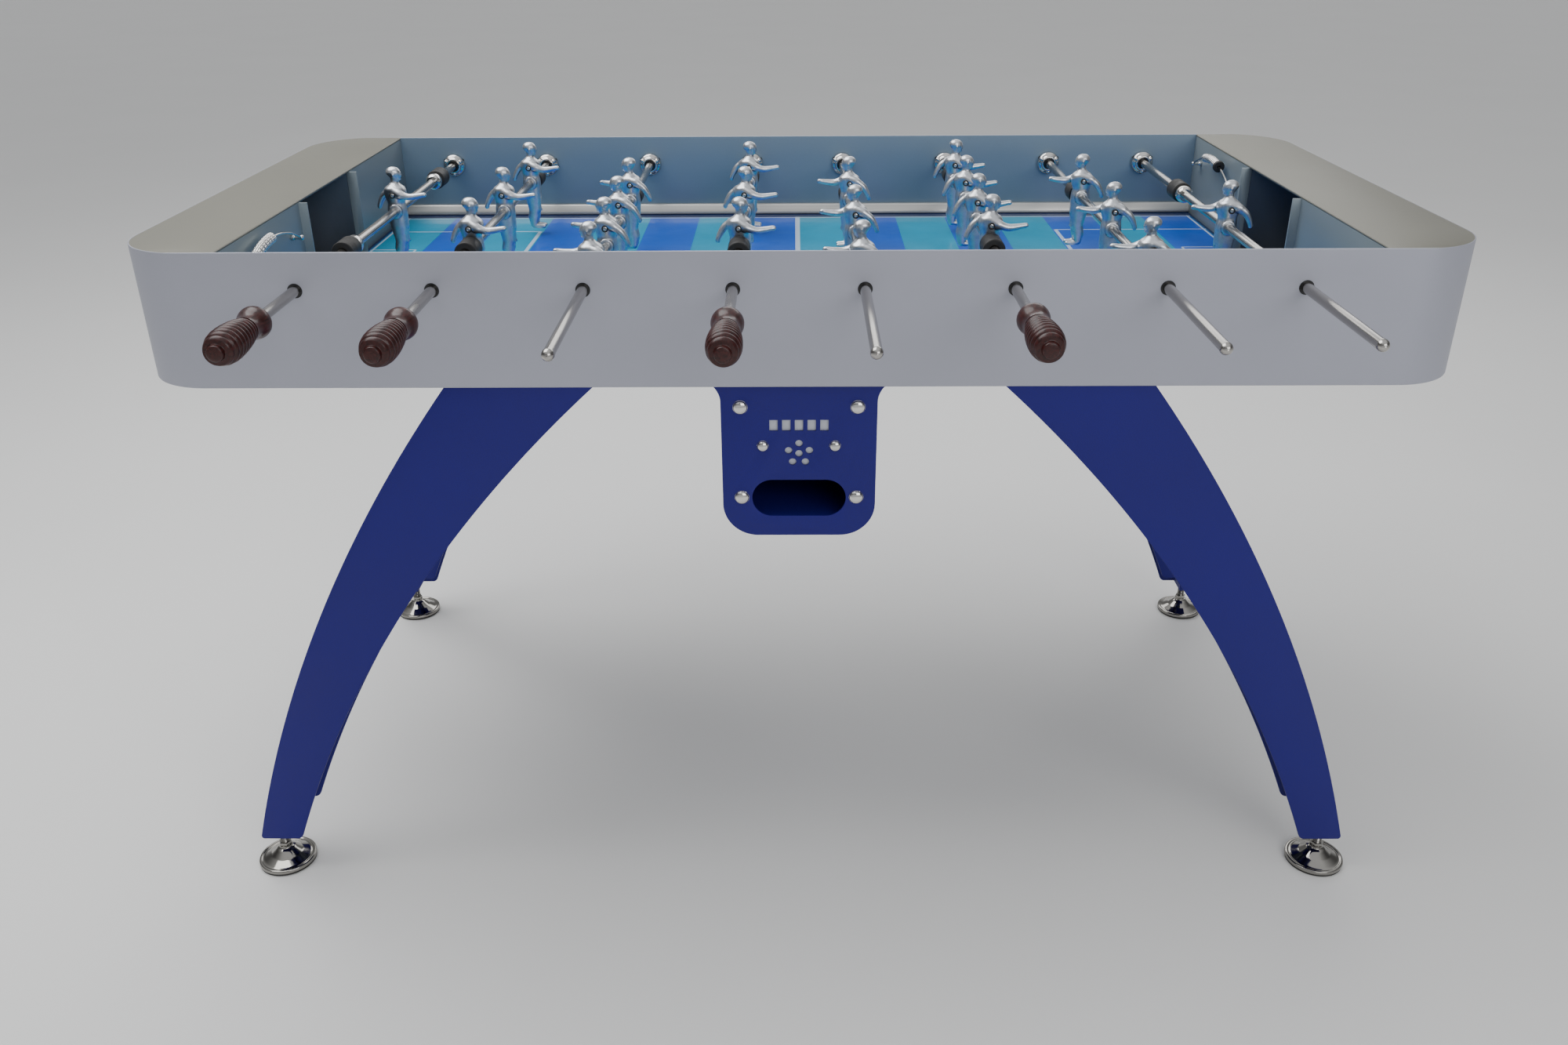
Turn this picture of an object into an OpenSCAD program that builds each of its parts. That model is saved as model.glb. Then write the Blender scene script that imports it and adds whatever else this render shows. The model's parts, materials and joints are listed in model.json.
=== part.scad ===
// Table-football table: a shallow sheet-steel tub on four curved twin-blade legs, with eight
// player rods that turn and slide, a glass-covered pitch, goals, ball return and score beads.
// Origin: on the floor under the middle of the tub. X runs along the table from goal to goal,
// Y across it along the rods, Z up. Home players face +X, away players face -X.

/* [Cabinet] */
// Length of the tub, outside
table_l = 1540; // [1450:10:1900]
// Width of the tub, outside
table_w = 752; // [700:2:920]
// Height of the rim above the floor
table_h = 872; // [820:2:1080]
// Height of the wrap-around wall
wall_h = 158; // [150:1:200]
// Thickness of the sheet steel
sheet = 3; // [2:0.5:5]
// Outside radius of the tub's vertical corners
corner_r = 85; // [40:1:110]
// Width of the flat deck at each end, measured from the outside
deck_w = 124; // [115:1:180]

/* [Playfield] */
// Depth of the rod axes below the rim
rod_drop = 43; // [36:1:60]
// Depth of the glass below the rod axes
field_drop = 80; // [76:1:90]
// Thickness of the glass over the pitch
glass_t = 5; // [3:1:8]
// Thickness of the board under the glass
board_t = 12; // [8:1:18]
// Height of the rail along the foot of each long wall
rail_h = 16; // [10:1:24]
// Depth of that rail, out from the wall
rail_t = 12; // [6:1:20]

/* [Goals and ball return] */
// Width of each goal mouth
goal_w = 204; // [160:2:260]
// How far the lips of the goal mouth stand into the pitch
lip = 11; // [6:0.5:12]
// Depth of the goal box behind the end wall
goal_depth = 80; // [60:1:100]
// Inside width of the return trough
trough_w = 46; // [42:1:60]
// Fall of each return trough, in degrees
trough_fall = 2; // [1:0.25:3]

/* [Rods] */
// Diameter of the player rods
rod_d = 12; // [10:0.5:16]
// Radial clearance of every running fit
fit = 0.05; // [0.02:0.01:0.1]
// Distance of the goalkeepers' rods from the end walls
keeper_inset = 84.5; // [82:0.5:110]
// Travel of a rod to each side of its middle position
rod_travel = 114; // [80:1:120]
// Where the four home rods stand along Y, goalkeeper first
home_rest = [35, 30, 27, 37]; // [-110:1:110]
// Where the four away rods stand along Y, goalkeeper last
away_rest = [-103, -100, -90, -82]; // [-110:1:110]
// Distance from the outer wall face to a centred rod's bare end
bare_gap = 128; // [122:1:160]
// Distance from the outer wall face to a centred rod's handle
handle_gap = 146; // [130:1:190]
// Length of the handle
handle_l = 110; // [90:1:140]
// Greatest diameter of the handle's grip
handle_d = 37; // [30:0.5:44]

/* [Bearings and stops] */
// Outside diameter of the black sleeve round each rod
sleeve_d = 16.5; // [15:0.5:22]
// Diameter of the bearing housing
housing_d = 36; // [32:1:44]
// How far the bearing housing stands off the wall
housing_l = 14; // [12:0.5:20]
// Diameter of the rubber bumpers
bumper_d = 28; // [22:1:34]
// Length of the rubber bumpers
bumper_l = 34; // [20:1:44]

/* [Players] */
// Height of a player's head above the rod axis
head_up = 60; // [54:1:66]
// Gap between a player's boots and the glass
boot_gap = 10; // [8:0.5:14]
// Thickness of a player's body along the rod
body_t = 22; // [16:1:26]

/* [Score counters] */
// Number of beads on each counter
bead_n = 8; // [5:1:10]
// Diameter of a bead
bead_d = 13; // [10:0.5:16]
// Width of a bead along the wire
bead_w = 7.6; // [6:0.1:9]
// Diameter of the wire
wire_d = 3; // [2:0.5:4]
// Distance between the two posts of a counter
post_span = 182; // [150:1:200]
// Rise of the wire's arch above the posts
arch_rise = 22; // [12:1:26]
// Distance of the wire from the end wall
wire_off = 13; // [10:0.5:18]
// Depth of the posts below the rim
post_drop = 38; // [36:1:46]
// Angle along the arch at which the left counter's beads start
left_start = -17.5; // [-18:0.5:4]
// Angle along the arch at which the right counter's beads start
right_start = -8; // [-18:0.5:4]

/* [Legs] */
// Distance of a leg's upper end from the end of the tub
leg_top_inset = 360; // [300:5:420]
// Distance of a leg's lower end from the end of the tub
leg_foot_inset = 25; // [10:1:60]
// Width of a leg where it leaves the tub
leg_top_w = 173; // [120:1:200]
// Width of a leg at its lower end
leg_foot_w = 57; // [40:1:80]
// Height of the leg's lower end above the floor
leg_clear = 53; // [45:1:100]
// Thickness of the leg blades
blade_t = 5; // [3:0.5:8]
// Gap between a leg's two blades
blade_gap = 46; // [40:1:60]
// Outward bow of a leg's outer edge
bow_out = 35; // [10:1:60]
// Outward bow of a leg's inner edge
bow_in = 47; // [10:1:70]

/* [Feet] */
// Diameter of the levelling foot's pad
pad_d = 78; // [60:1:90]
// Diameter of the levelling foot's stem
stem_d = 12; // [10:0.5:16]
// Distance of the stem's axis from the leg's outer edge and outer face
stem_inset = 22; // [18:1:26]

/* [Ball pocket] */
// Width of the pocket's front plate
plate_w = 184; // [160:1:220]
// Drop of the front plate below the wall
plate_drop = 197; // [170:1:230]
// Width of the ball opening
mouth_w = 113; // [90:1:130]
// Height of the ball opening
mouth_h = 48; // [42:1:60]

/* [Hidden] */
$fn = 48;
seam = 0.3;

// Heights
wall_z = table_h - wall_h;
rod_z = table_h - rod_drop;
glass_z = rod_z - field_drop;
board_z = glass_z - glass_t - board_t;

// Half sizes of the space inside the tub
in_y = table_w / 2 - sheet;
in_x = table_l / 2 - deck_w;

// Rods, numbered from the home goal: share of the goalkeepers' distance from the middle
rod_share = [1, 0.728, 0.428, 0.131];
keeper_x = in_x - keeper_inset;
function rod_x(k) = k <= 4 ? -keeper_x * rod_share[k - 1] : keeper_x * rod_share[8 - k];
player_count = [1, 3, 4, 3, 3, 4, 3, 1];
home_index = [0, 1, -1, 2, -1, 3, -1, -1];
away_index = [-1, -1, 0, -1, 1, -1, 2, 3];
function is_home(k) = home_index[k - 1] >= 0;
function rod_rest(k) = is_home(k) ? home_rest[home_index[k - 1]] : away_rest[away_index[k - 1]];
// A home rod's handle is on the near side, an away rod's on the far side
function handle_side(k) = is_home(k) ? -1 : 1;

// Stops: a bumper's outer face meets the housing at the end of the rod's travel
stop_gap = 1;
bumper_end = in_y - housing_l - rod_travel - stop_gap;
last_player = bumper_end - bumper_l - body_t / 2;
function player_y(k, i) = player_count[k - 1] == 1 ? 0
  : -last_player + 2 * last_player * i / (player_count[k - 1] - 1);

// Bearings
flange_d = sleeve_d + 6;
flange_t = 3;
nut_ring = (housing_d + sleeve_d) / 4;
nut_af = 7;

// Score counters
arch_r = (post_span * post_span / 4 + arch_rise * arch_rise) / (2 * arch_rise);
arch_half = asin(post_span / 2 / arch_r);
counter_y = (goal_w / 2 + in_y) / 2;
arch_z = table_h - post_drop + arch_rise - arch_r;
bead_step = (bead_w + seam) / arch_r * 180 / PI;
bead_play = 0.35;
ring_w = 6;
ring_d = bead_d + 4;
post_d = 7;
post_nose = 3;

// Legs
leg_foot_out = table_l / 2 - leg_foot_inset;
leg_top_out = table_l / 2 - leg_top_inset;
leg_top_z = board_z;
blade_y = in_y - seam;
gap_y = blade_y - blade_t - blade_gap;
foot_x = leg_foot_out - stem_inset;
foot_y = blade_y - stem_inset;
inner_blade_lift = 33;
boss_r = 13;
boss_h = 36;
boss_z = leg_clear + 4;

// Levelling feet
sole_t = 3;
pad_t = 5;
cone_h = 16;
stem_top = boss_z + boss_h - 4;

// Ball pocket
plate_t = 3;
plate_y = -in_y + 11;
plate_z = wall_z - plate_drop;
plate_top = wall_z + 4;
plate_r = 42;
flare_w = 28;
mouth_z = plate_z + 26;
rosette_z = plate_z + 108;
slot_z = plate_z + 137;
box_w = plate_w - 16;
box_back = 40;
box_t = 2;
// Bolts: distance from the plate's middle, height above its lower edge, diameter of the head
bolt_rows = [[plate_w / 2 - 23, 167, 17.5], [plate_w / 2 - 23, 51, 17.5], [plate_w / 2 - 49, 118, 14]];
bolt_h = 5;

// Return troughs
trough_t = 2;
trough_h = 38;
trough_top_z = board_z - 2;

// A rectangle with rounded corners, centred
module soft_rect(l, w, r) {
  square([l - 2 * r, w], center = true);
  square([l, w - 2 * r], center = true);
  for (x = [-1, 1], y = [-1, 1])
    translate([x * (l / 2 - r), y * (w / 2 - r)])
      circle(r);
}

// Turns a shape drawn along Z so that it lies along +Y
module along_y() {
  rotate([-90, 0, 0])
    children();
}

// A round bar between two points, with its two end radii
module bar(a, b, ra, rb) {
  d = b - a;
  translate(a)
    rotate([0, acos(d[2] / norm(d)), atan2(d[1], d[0])])
      cylinder(h = norm(d), r1 = ra, r2 = rb);
}

// ---- Cabinet ----

module side_shell() {
  color("lightsteelblue")
    difference() {
      translate([0, 0, wall_z])
        linear_extrude(wall_h)
          difference() {
            soft_rect(table_l, table_w, corner_r);
            soft_rect(table_l - 2 * sheet, table_w - 2 * sheet, corner_r - sheet);
          }
      for (k = [1:8])
        translate([rod_x(k), -table_w / 2 - 1, rod_z])
          along_y()
            cylinder(h = table_w + 2, d = sleeve_d + 2 * fit);
    }
}

module end_decks() {
  color("darkgray")
    for (side = [-1, 1])
      translate([0, 0, table_h - sheet])
        linear_extrude(sheet)
          intersection() {
            soft_rect(table_l - 2 * sheet - seam, 2 * in_y - seam, corner_r - sheet);
            translate([side * (in_x + table_l / 2) / 2, 0])
              square([deck_w, table_w], center = true);
          }
}

module end_wall() {
  lip_l = lip + sheet;
  difference() {
    translate([in_x, -in_y + seam, board_z])
      cube([sheet, 2 * (in_y - seam), table_h - sheet - board_z]);
    translate([in_x - 1, -goal_w / 2, glass_z])
      cube([sheet + 2, goal_w, table_h - glass_z]);
  }
  for (y = [-goal_w / 2 - sheet, goal_w / 2])
    translate([in_x - lip, y, glass_z + seam])
      cube([lip_l, sheet, table_h - sheet - glass_z - seam]);
}

module end_walls() {
  color("lightsteelblue")
    for (turn = [0, 180])
      rotate([0, 0, turn])
        end_wall();
}

module trough() {
  slot = trough_w + 2 * trough_t;
  run = in_x - box_w / 2 + 10;
  translate([in_x + sheet + 1, 0, trough_top_z - trough_h])
    rotate([0, -trough_fall, 0])
      mirror([1, 0, 0])
        difference() {
          translate([0, -slot / 2, 0])
            cube([run, slot, trough_h - 2]);
          translate([-1, -trough_w / 2, trough_t])
            cube([run + 2, trough_w, trough_h]);
        }
}

module goal_box() {
  x0 = in_x + sheet + seam;
  floor_z = trough_top_z - trough_h - 1;
  top_z = table_h - sheet - seam;
  difference() {
    translate([x0, -goal_w / 2 - sheet, floor_z])
      cube([goal_depth, goal_w + 2 * sheet, top_z - floor_z]);
    translate([x0 - 1, -goal_w / 2, glass_z])
      cube([goal_depth - box_t + 1, goal_w, top_z - glass_z - box_t]);
    translate([x0 + box_t, -goal_w / 2, floor_z + box_t])
      cube([goal_depth - 2 * box_t, goal_w, glass_z - floor_z]);
    translate([x0 - 1, -trough_w / 2 - trough_t - 1, floor_z + box_t])
      cube([box_t + 2, trough_w + 2 * trough_t + 2, trough_h + 2]);
  }
}

module goal_boxes() {
  color("dimgray")
    for (turn = [0, 180])
      rotate([0, 0, turn]) {
        goal_box();
        trough();
      }
}

module playfield_glass() {
  color("deepskyblue")
    translate([-in_x + seam, -in_y + seam, glass_z - glass_t])
      cube([2 * (in_x - seam), 2 * (in_y - seam), glass_t]);
}

module playfield_board() {
  color("navy")
    translate([-in_x + seam, -in_y + seam, board_z])
      cube([2 * (in_x - seam), 2 * (in_y - seam), board_t]);
}

module field_rails() {
  nose = 5;
  color("gainsboro")
    for (side = [0, 1])
      mirror([0, side, 0])
        translate([-in_x + seam, in_y - seam, glass_z])
          rotate([90, 0, 90])
            linear_extrude(2 * (in_x - seam))
              polygon([[0, 0], [0, rail_h], [-rail_t + nose, rail_h], [-rail_t, nose], [-rail_t, 0]]);
}

// ---- Bearings ----

module bearing_housing() {
  r = housing_d / 2;
  bore = sleeve_d / 2 + fit;
  pocket = flange_d / 2 + 0.3;
  rotate_extrude()
    polygon([[pocket, 0], [r, 0], [r, 3], [r - 3, 7], [r - 7, 10.5], [bore + 2.5, housing_l],
      [bore, housing_l], [bore, flange_t + 0.6], [pocket, flange_t + 0.6]]);
}

// Places its children at each bearing, with Z pointing into the tub from the wall's inner face
module at_bearings() {
  for (k = [1:8], turn = [0, 180])
    translate([rod_x(k), 0, rod_z])
      rotate([0, 0, turn])
        translate([0, in_y, 0])
          rotate([90, 0, 0])
            children();
}

module bearing_housings() {
  color("silver")
    at_bearings()
      bearing_housing();
}

module bearing_nuts() {
  nut_base = 5.5;
  nut_h = 4.5;
  color("whitesmoke")
    at_bearings()
      for (a = [30, 150, 270])
        rotate([0, 0, a])
          translate([nut_ring, 0, nut_base]) {
            cylinder(h = nut_h, d = nut_af / cos(30), $fn = 6);
            translate([0, 0, nut_h])
              intersection() {
                sphere(d = nut_af);
                cylinder(h = nut_af, d = nut_af);
              }
          }
}

// The sleeve turns with its rod inside the housing, and the rod slides through it
module sleeve() {
  proud = 0.6;
  difference() {
    union() {
      translate([0, 0, -sheet - proud])
        cylinder(h = sheet + proud + housing_l, d = sleeve_d);
      translate([0, 0, 0.3])
        cylinder(h = flange_t, d = flange_d);
    }
    translate([0, 0, -sheet - proud - 1])
      cylinder(h = sheet + proud + housing_l + 2, d = rod_d + 2 * fit);
  }
}

module sleeves(k) {
  color("black")
    for (side = [0, 1])
      mirror([0, side, 0])
        translate([rod_x(k), -in_y, rod_z])
          along_y()
            sleeve();
}

// ---- Rods, each drawn centred on its own middle with the handle towards -Y ----

// Places children on rod k at rest
module on_rod(k) {
  translate([rod_x(k), rod_rest(k), rod_z])
    rotate([0, 0, is_home(k) ? 0 : 180])
      children();
}

bare_end = table_w / 2 + bare_gap;
handle_start = table_w / 2 + handle_gap;
socket_l = 90;

module rod(k) {
  cap_r = rod_d / 2 + 0.5;
  cap_l = 2;
  color("gainsboro")
    on_rod(k) {
      translate([0, -handle_start - socket_l, 0])
        along_y()
          cylinder(h = handle_start + socket_l + bare_end - cap_r - cap_l, d = rod_d);
      translate([0, bare_end - cap_r - cap_l, 0])
        along_y() {
          cylinder(h = cap_l, r = cap_r);
          translate([0, 0, cap_l])
            intersection() {
              sphere(cap_r);
              cylinder(h = cap_r, r = cap_r);
            }
        }
    }
}

module handle(k) {
  r = handle_d / 2;
  bore = rod_d / 2 + fit;
  stop = socket_l + 0.5;
  color("saddlebrown")
    on_rod(k)
      translate([0, -handle_start, 0])
        rotate([90, 0, 0])
          rotate_extrude()
            polygon([[bore, 0], [bore + 3, 0], [r - 2.5, 4], [r - 1, 9], [r - 2.5, 15], [r - 5.5, 23],
              [r - 6, 30], [r - 4.5, 37], [r - 1.5, 52], [r - 0.3, 66], [r, 78], [r - 1.5, 90],
              [r - 5, handle_l - 10], [r - 9, handle_l - 4], [r - 11, handle_l], [0, handle_l],
              [0, stop], [bore, stop]]);
}

// One rubber stop at the outer end of the players, and on a goalkeeper's rod a ball collar too
module bumpers(k) {
  lone = player_count[k - 1] == 1;
  collar_d = 24;
  collar_l = 18;
  color("black")
    on_rod(k)
      for (side = [0, 1])
        mirror([0, side, 0])
          translate([0, bumper_end, 0])
            rotate([90, 0, 0])
              difference() {
                union() {
                  cylinder(h = bumper_l, d = bumper_d);
                  if (lone)
                    translate([0, 0, bumper_l + seam + collar_l / 2])
                      intersection() {
                        sphere(d = collar_d + 2);
                        translate([0, 0, -collar_l / 2])
                          cylinder(h = collar_l, d = collar_d);
                      }
                }
                translate([0, 0, -1])
                  cylinder(h = bumper_l + collar_l + 4, d = rod_d + 2 * fit);
              }
}

// One cast player facing +X, with the rod's axis at its origin: trunk, head, a forward arm on
// the near side, a trailing arm on the far side, closed legs and two boots
module player() {
  boot = -(field_drop - boot_gap);
  half = body_t / 2;
  chest = [-0.5, 0, 23];
  head_r = 9.6;
  heel_r = 5.9;
  toe_r = 4.8;
  front_elbow = [21, -half - 1, 20.5];
  front_hand = [42, -half + 1, 22.5];
  back_elbow = [-19, half + 1.5, 20];
  back_hand = [-28, half + 0.3, 3.5];
  difference() {
    union() {
      translate([0, -half, 0])
        along_y()
          cylinder(h = body_t, r = 11);
      bar([0, 0, -1], chest - [0, 0, 1], 10, 11);
      translate(chest)
        sphere(12);
      bar([0, 0, 29], [1.5, 0, 46], 5, 4.2);
      translate([2, 0, head_up - head_r])
        sphere(head_r);
      bar([0, -half + 2, 29], front_elbow, 5.2, 4.2);
      translate(front_elbow)
        sphere(4.6);
      bar(front_elbow, front_hand, 4.1, 3.4);
      translate(front_hand)
        sphere(4.4);
      bar([-1, half - 2.5, 28.5], back_elbow, 5.2, 4.2);
      translate(back_elbow)
        sphere(4.6);
      bar(back_elbow, back_hand, 4.1, 3.4);
      translate(back_hand)
        sphere(4.2);
      bar([0.2, 0, 1], [1, 0, boot + 8], 10.4, 6.8);
      for (y = [-5, 5]) {
        heel = [-1, y, boot + heel_r];
        toe = [15, y + sign(y), boot + toe_r];
        translate(heel)
          sphere(heel_r);
        bar(heel, toe, 5.2, 4.3);
        translate(toe)
          sphere(toe_r);
      }
    }
    translate([0, -half - 5, 0])
      along_y()
        cylinder(h = body_t + 10, d = rod_d + 2 * fit);
  }
}

module players(k) {
  color("lightgray")
    on_rod(k)
      for (i = [0:player_count[k - 1] - 1])
        translate([0, player_y(k, i), 0])
          player();
}

// ---- Score counters ----

// Places children in a counter's plane: X away from the pitch, the arch's centre at the origin
module at_counter(side) {
  translate([side * (in_x - wire_off), side * counter_y, arch_z])
    children();
}

// The arch that the wire follows, as a round bar of radius r
module arch(r) {
  rotate([0, -90, 0])
    rotate([0, 0, -arch_half])
      rotate_extrude(angle = 2 * arch_half)
        translate([arch_r, 0])
          circle(r);
}

module score_wires() {
  color("silver")
    for (side = [-1, 1])
      at_counter(side) {
        arch(wire_d / 2);
        for (a = [-arch_half, arch_half])
          rotate([-a, 0, 0])
            translate([side > 0 ? -post_nose : -wire_off, 0, arch_r])
              rotate([0, 90, 0])
                cylinder(h = wire_off + post_nose, d = post_d);
      }
}

// The beads and the rubber ring lie side by side on the wire, from angle start onwards
module score_beads(side, start) {
  color("silver")
    at_counter(side)
      difference() {
        union() {
          for (i = [0:bead_n - 1])
            rotate([-(start + i * bead_step), 0, 0])
              translate([0, -bead_w / 2, arch_r])
                along_y()
                  cylinder(h = bead_w, d = bead_d);
          rotate([-(start - bead_step), 0, 0])
            translate([0, -ring_w / 2, arch_r])
              along_y()
                cylinder(h = ring_w, d = ring_d);
        }
        arch(wire_d / 2 + bead_play);
      }
}

// ---- Legs and feet ----

// Radius and centre of the circle through p and q whose arc, seen going from p down to q, bows
// outwards by sag
function bow_radius(p, q, sag) = (pow(norm(q - p), 2) / 4 + sag * sag) / (2 * sag);
function bow_centre(p, q, sag) =
  (p + q) / 2 - [p[1] - q[1], q[0] - p[0]] / norm(q - p) * (bow_radius(p, q, sag) - sag);

outer_top = [leg_top_out, wall_z];
outer_foot = [leg_foot_out, leg_clear];
inner_top = [leg_top_out - leg_top_w, wall_z];
inner_foot = [leg_foot_out - leg_foot_w, leg_clear];

// The leg's side view between two heights, inset from its outer edge
module leg_outline(low, high, inset = 0) {
  intersection() {
    translate([0, low])
      square([table_l, high - low]);
    difference() {
      translate(bow_centre(outer_top, outer_foot, bow_out))
        circle(bow_radius(outer_top, outer_foot, bow_out) - inset, $fn = 360);
      translate(bow_centre(inner_top, inner_foot, bow_in))
        circle(bow_radius(inner_top, inner_foot, bow_in), $fn = 360);
    }
  }
}

// Extrudes a side view across a leg, from y outwards to y + t
module across(y, t) {
  translate([0, y + t, 0])
    rotate([90, 0, 0])
      linear_extrude(t)
        children();
}

// One leg in the +X +Y quarter: two blades, a web between them, a top plate and a foot boss
module leg() {
  web_t = 3;
  web_in = 14;
  top_t = 4;
  lock = 0.5;
  span = blade_gap + 2 * lock;
  difference() {
    union() {
      across(blade_y - blade_t, blade_t)
        leg_outline(leg_clear, leg_top_z - seam);
      across(gap_y - blade_t, blade_t)
        leg_outline(leg_clear + inner_blade_lift, leg_top_z - seam);
      across(gap_y - lock, span)
        difference() {
          leg_outline(boss_z + boss_h - lock, leg_top_z - seam, web_in);
          leg_outline(0, table_h, web_in + web_t);
        }
      across(gap_y - lock, span)
        leg_outline(leg_top_z - top_t, leg_top_z - seam);
      across(gap_y - lock, span)
        intersection() {
          translate([foot_x - boss_r, boss_z])
            square([3 * boss_r, boss_h]);
          leg_outline(0, table_h, 1);
        }
    }
    translate([foot_x, foot_y, boss_z - 1])
      cylinder(h = boss_h - 2, r = stem_d / 2 + fit);
  }
}

module legs() {
  color("midnightblue")
    for (mx = [0, 1], my = [0, 1])
      mirror([mx, 0, 0])
        mirror([0, my, 0])
          leg();
}

module foot(sx, sy) {
  r = pad_d / 2;
  neck = stem_d / 2 + 2;
  neck_h = 6;
  cone_z = sole_t + pad_t;
  color("silver")
    translate([sx * foot_x, sy * foot_y, 0]) {
      cylinder(h = sole_t, r = r - 1);
      translate([0, 0, sole_t])
        cylinder(h = pad_t, r = r);
      translate([0, 0, cone_z])
        cylinder(h = cone_h, r1 = r - 2, r2 = neck);
      translate([0, 0, cone_z + cone_h])
        cylinder(h = neck_h, r = neck);
      translate([0, 0, cone_z])
        cylinder(h = stem_top - cone_z, d = stem_d);
    }
}

// ---- Ball pocket ----

module plate_outline() {
  half = plate_w / 2;
  translate([-half + plate_r, plate_z])
    square([plate_w - 2 * plate_r, plate_r + 1]);
  for (side = [-1, 1])
    translate([side * (half - plate_r), plate_z + plate_r])
      circle(plate_r);
  translate([-half, plate_z + plate_r])
    square([plate_w, plate_top - plate_z - plate_r]);
  // Concave fillets where the plate meets the tub
  for (side = [-1, 1])
    difference() {
      translate([side > 0 ? half - 1 : -half - flare_w, plate_top - flare_w])
        square([flare_w + 1, flare_w]);
      translate([side * (half + flare_w), plate_top - flare_w])
        circle(flare_w);
    }
}

module mouth_outline(grow) {
  r = mouth_h / 2 + grow;
  for (side = [-1, 1])
    translate([side * (mouth_w - mouth_h) / 2, mouth_z + mouth_h / 2])
      circle(r);
  translate([-(mouth_w - mouth_h) / 2, mouth_z - grow])
    square([mouth_w - mouth_h, mouth_h + 2 * grow]);
}

// A plain pierced pattern: a rosette of round holes with a row of short slots above it
module pierced_pattern() {
  petals = 5;
  petal_r = 4.5;
  ring_r = 13;
  slot_w = 10;
  slot_h = 14;
  pitch = 15;
  translate([0, rosette_z]) {
    circle(petal_r);
    for (i = [0:petals - 1])
      rotate(90 + i * 360 / petals)
        translate([ring_r, 0])
          circle(petal_r);
  }
  for (i = [-2:2])
    translate([i * pitch - slot_w / 2, slot_z])
      square([slot_w, slot_h]);
}

module pocket_plate() {
  color("midnightblue")
    across(plate_y, plate_t)
      difference() {
        plate_outline();
        mouth_outline(0);
        pierced_pattern();
      }
}

module pocket_box() {
  y0 = plate_y + plate_t + seam;
  z0 = mouth_z - 4;
  depth = box_back - y0;
  high = board_z - seam - z0;
  slot = trough_w + 2 * trough_t;
  fall = (in_x - box_w / 2) * tan(trough_fall);
  window_z = trough_top_z - trough_h - fall - 6;
  color("darkslateblue")
    difference() {
      translate([-box_w / 2, y0, z0])
        cube([box_w, depth, high]);
      translate([-box_w / 2 + box_t, y0 + box_t, z0 + box_t])
        cube([box_w - 2 * box_t, depth - 2 * box_t, high]);
      across(y0 - 1, box_t + 2)
        mouth_outline(1);
      // Windows that the two return troughs reach through
      translate([-box_w / 2 - 1, -slot / 2 - 3, window_z])
        cube([box_w + 2, slot + 6, trough_h + 10]);
    }
}

module pocket_bolts() {
  color("silver")
    for (row = bolt_rows, side = [-1, 1]) {
      d = row[2];
      dome_r = (d * d / 4 + bolt_h * bolt_h) / (2 * bolt_h);
      translate([side * row[0], plate_y, plate_z + row[1]])
        rotate([90, 0, 0])
          intersection() {
            translate([0, 0, bolt_h - dome_r])
              sphere(dome_r);
            cylinder(h = bolt_h, d = d);
          }
    }
}

side_shell();
end_decks();
end_walls();
goal_boxes();
playfield_glass();
playfield_board();
field_rails();
bearing_housings();
bearing_nuts();
pocket_plate();
pocket_box();
pocket_bolts();
legs();
score_wires();
score_beads(-1, left_start);  // score_beads_left
score_beads(1, right_start);  // score_beads_right
foot(-1, -1);  // foot_front_left
foot(1, -1);  // foot_front_right
foot(-1, 1);  // foot_rear_left
foot(1, 1);  // foot_rear_right
for (k = [1:8]) {
  rod(k);
  players(k);
  handle(k);
  bumpers(k);
  sleeves(k);
}
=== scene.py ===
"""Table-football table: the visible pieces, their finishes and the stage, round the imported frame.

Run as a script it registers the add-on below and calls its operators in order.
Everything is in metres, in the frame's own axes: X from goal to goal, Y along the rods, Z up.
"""
import json
import math

import bpy
import numpy as np
from bpy.props import FloatProperty, FloatVectorProperty, IntProperty, PointerProperty
from mathutils import Matrix, Vector


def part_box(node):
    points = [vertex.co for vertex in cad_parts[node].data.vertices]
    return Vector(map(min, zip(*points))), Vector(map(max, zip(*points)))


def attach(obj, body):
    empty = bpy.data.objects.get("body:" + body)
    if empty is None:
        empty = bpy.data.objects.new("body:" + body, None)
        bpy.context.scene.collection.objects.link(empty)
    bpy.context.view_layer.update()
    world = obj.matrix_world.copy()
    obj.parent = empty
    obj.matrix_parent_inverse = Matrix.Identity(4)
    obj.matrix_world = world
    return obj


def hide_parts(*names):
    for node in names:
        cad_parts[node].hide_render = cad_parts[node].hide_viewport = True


bl_info = {
    "name": "Table football",
    "version": (1, 0, 0),
    "blender": (4, 5, 0),
    "location": "3D View > Sidebar > Table football",
    "description": "Builds the visible pieces and finishes of a table-football table",
    "category": "Object",
}

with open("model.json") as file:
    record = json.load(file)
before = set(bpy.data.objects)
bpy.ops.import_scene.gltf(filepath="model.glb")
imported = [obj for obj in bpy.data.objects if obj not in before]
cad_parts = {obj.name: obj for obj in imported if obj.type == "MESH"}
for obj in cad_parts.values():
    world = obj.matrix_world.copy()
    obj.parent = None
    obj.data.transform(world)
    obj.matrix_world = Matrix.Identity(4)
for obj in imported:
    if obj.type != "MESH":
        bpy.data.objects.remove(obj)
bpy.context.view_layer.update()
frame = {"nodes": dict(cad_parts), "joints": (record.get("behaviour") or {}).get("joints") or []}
MM = 0.001
TAU = 2 * math.pi
CABINET = "cabinet"
RODS = range(1, 9)
PLAYER_COUNT = {1: 1, 2: 3, 3: 4, 4: 3, 5: 3, 6: 4, 7: 3, 8: 1}
# From a rod's middle to the start of its handle.
HANDLE_START = 522 * MM
# Angle round each counter's arch where its first bead stands, by side.
BEAD_START = {-1: -17.5, 1: -8}
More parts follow.
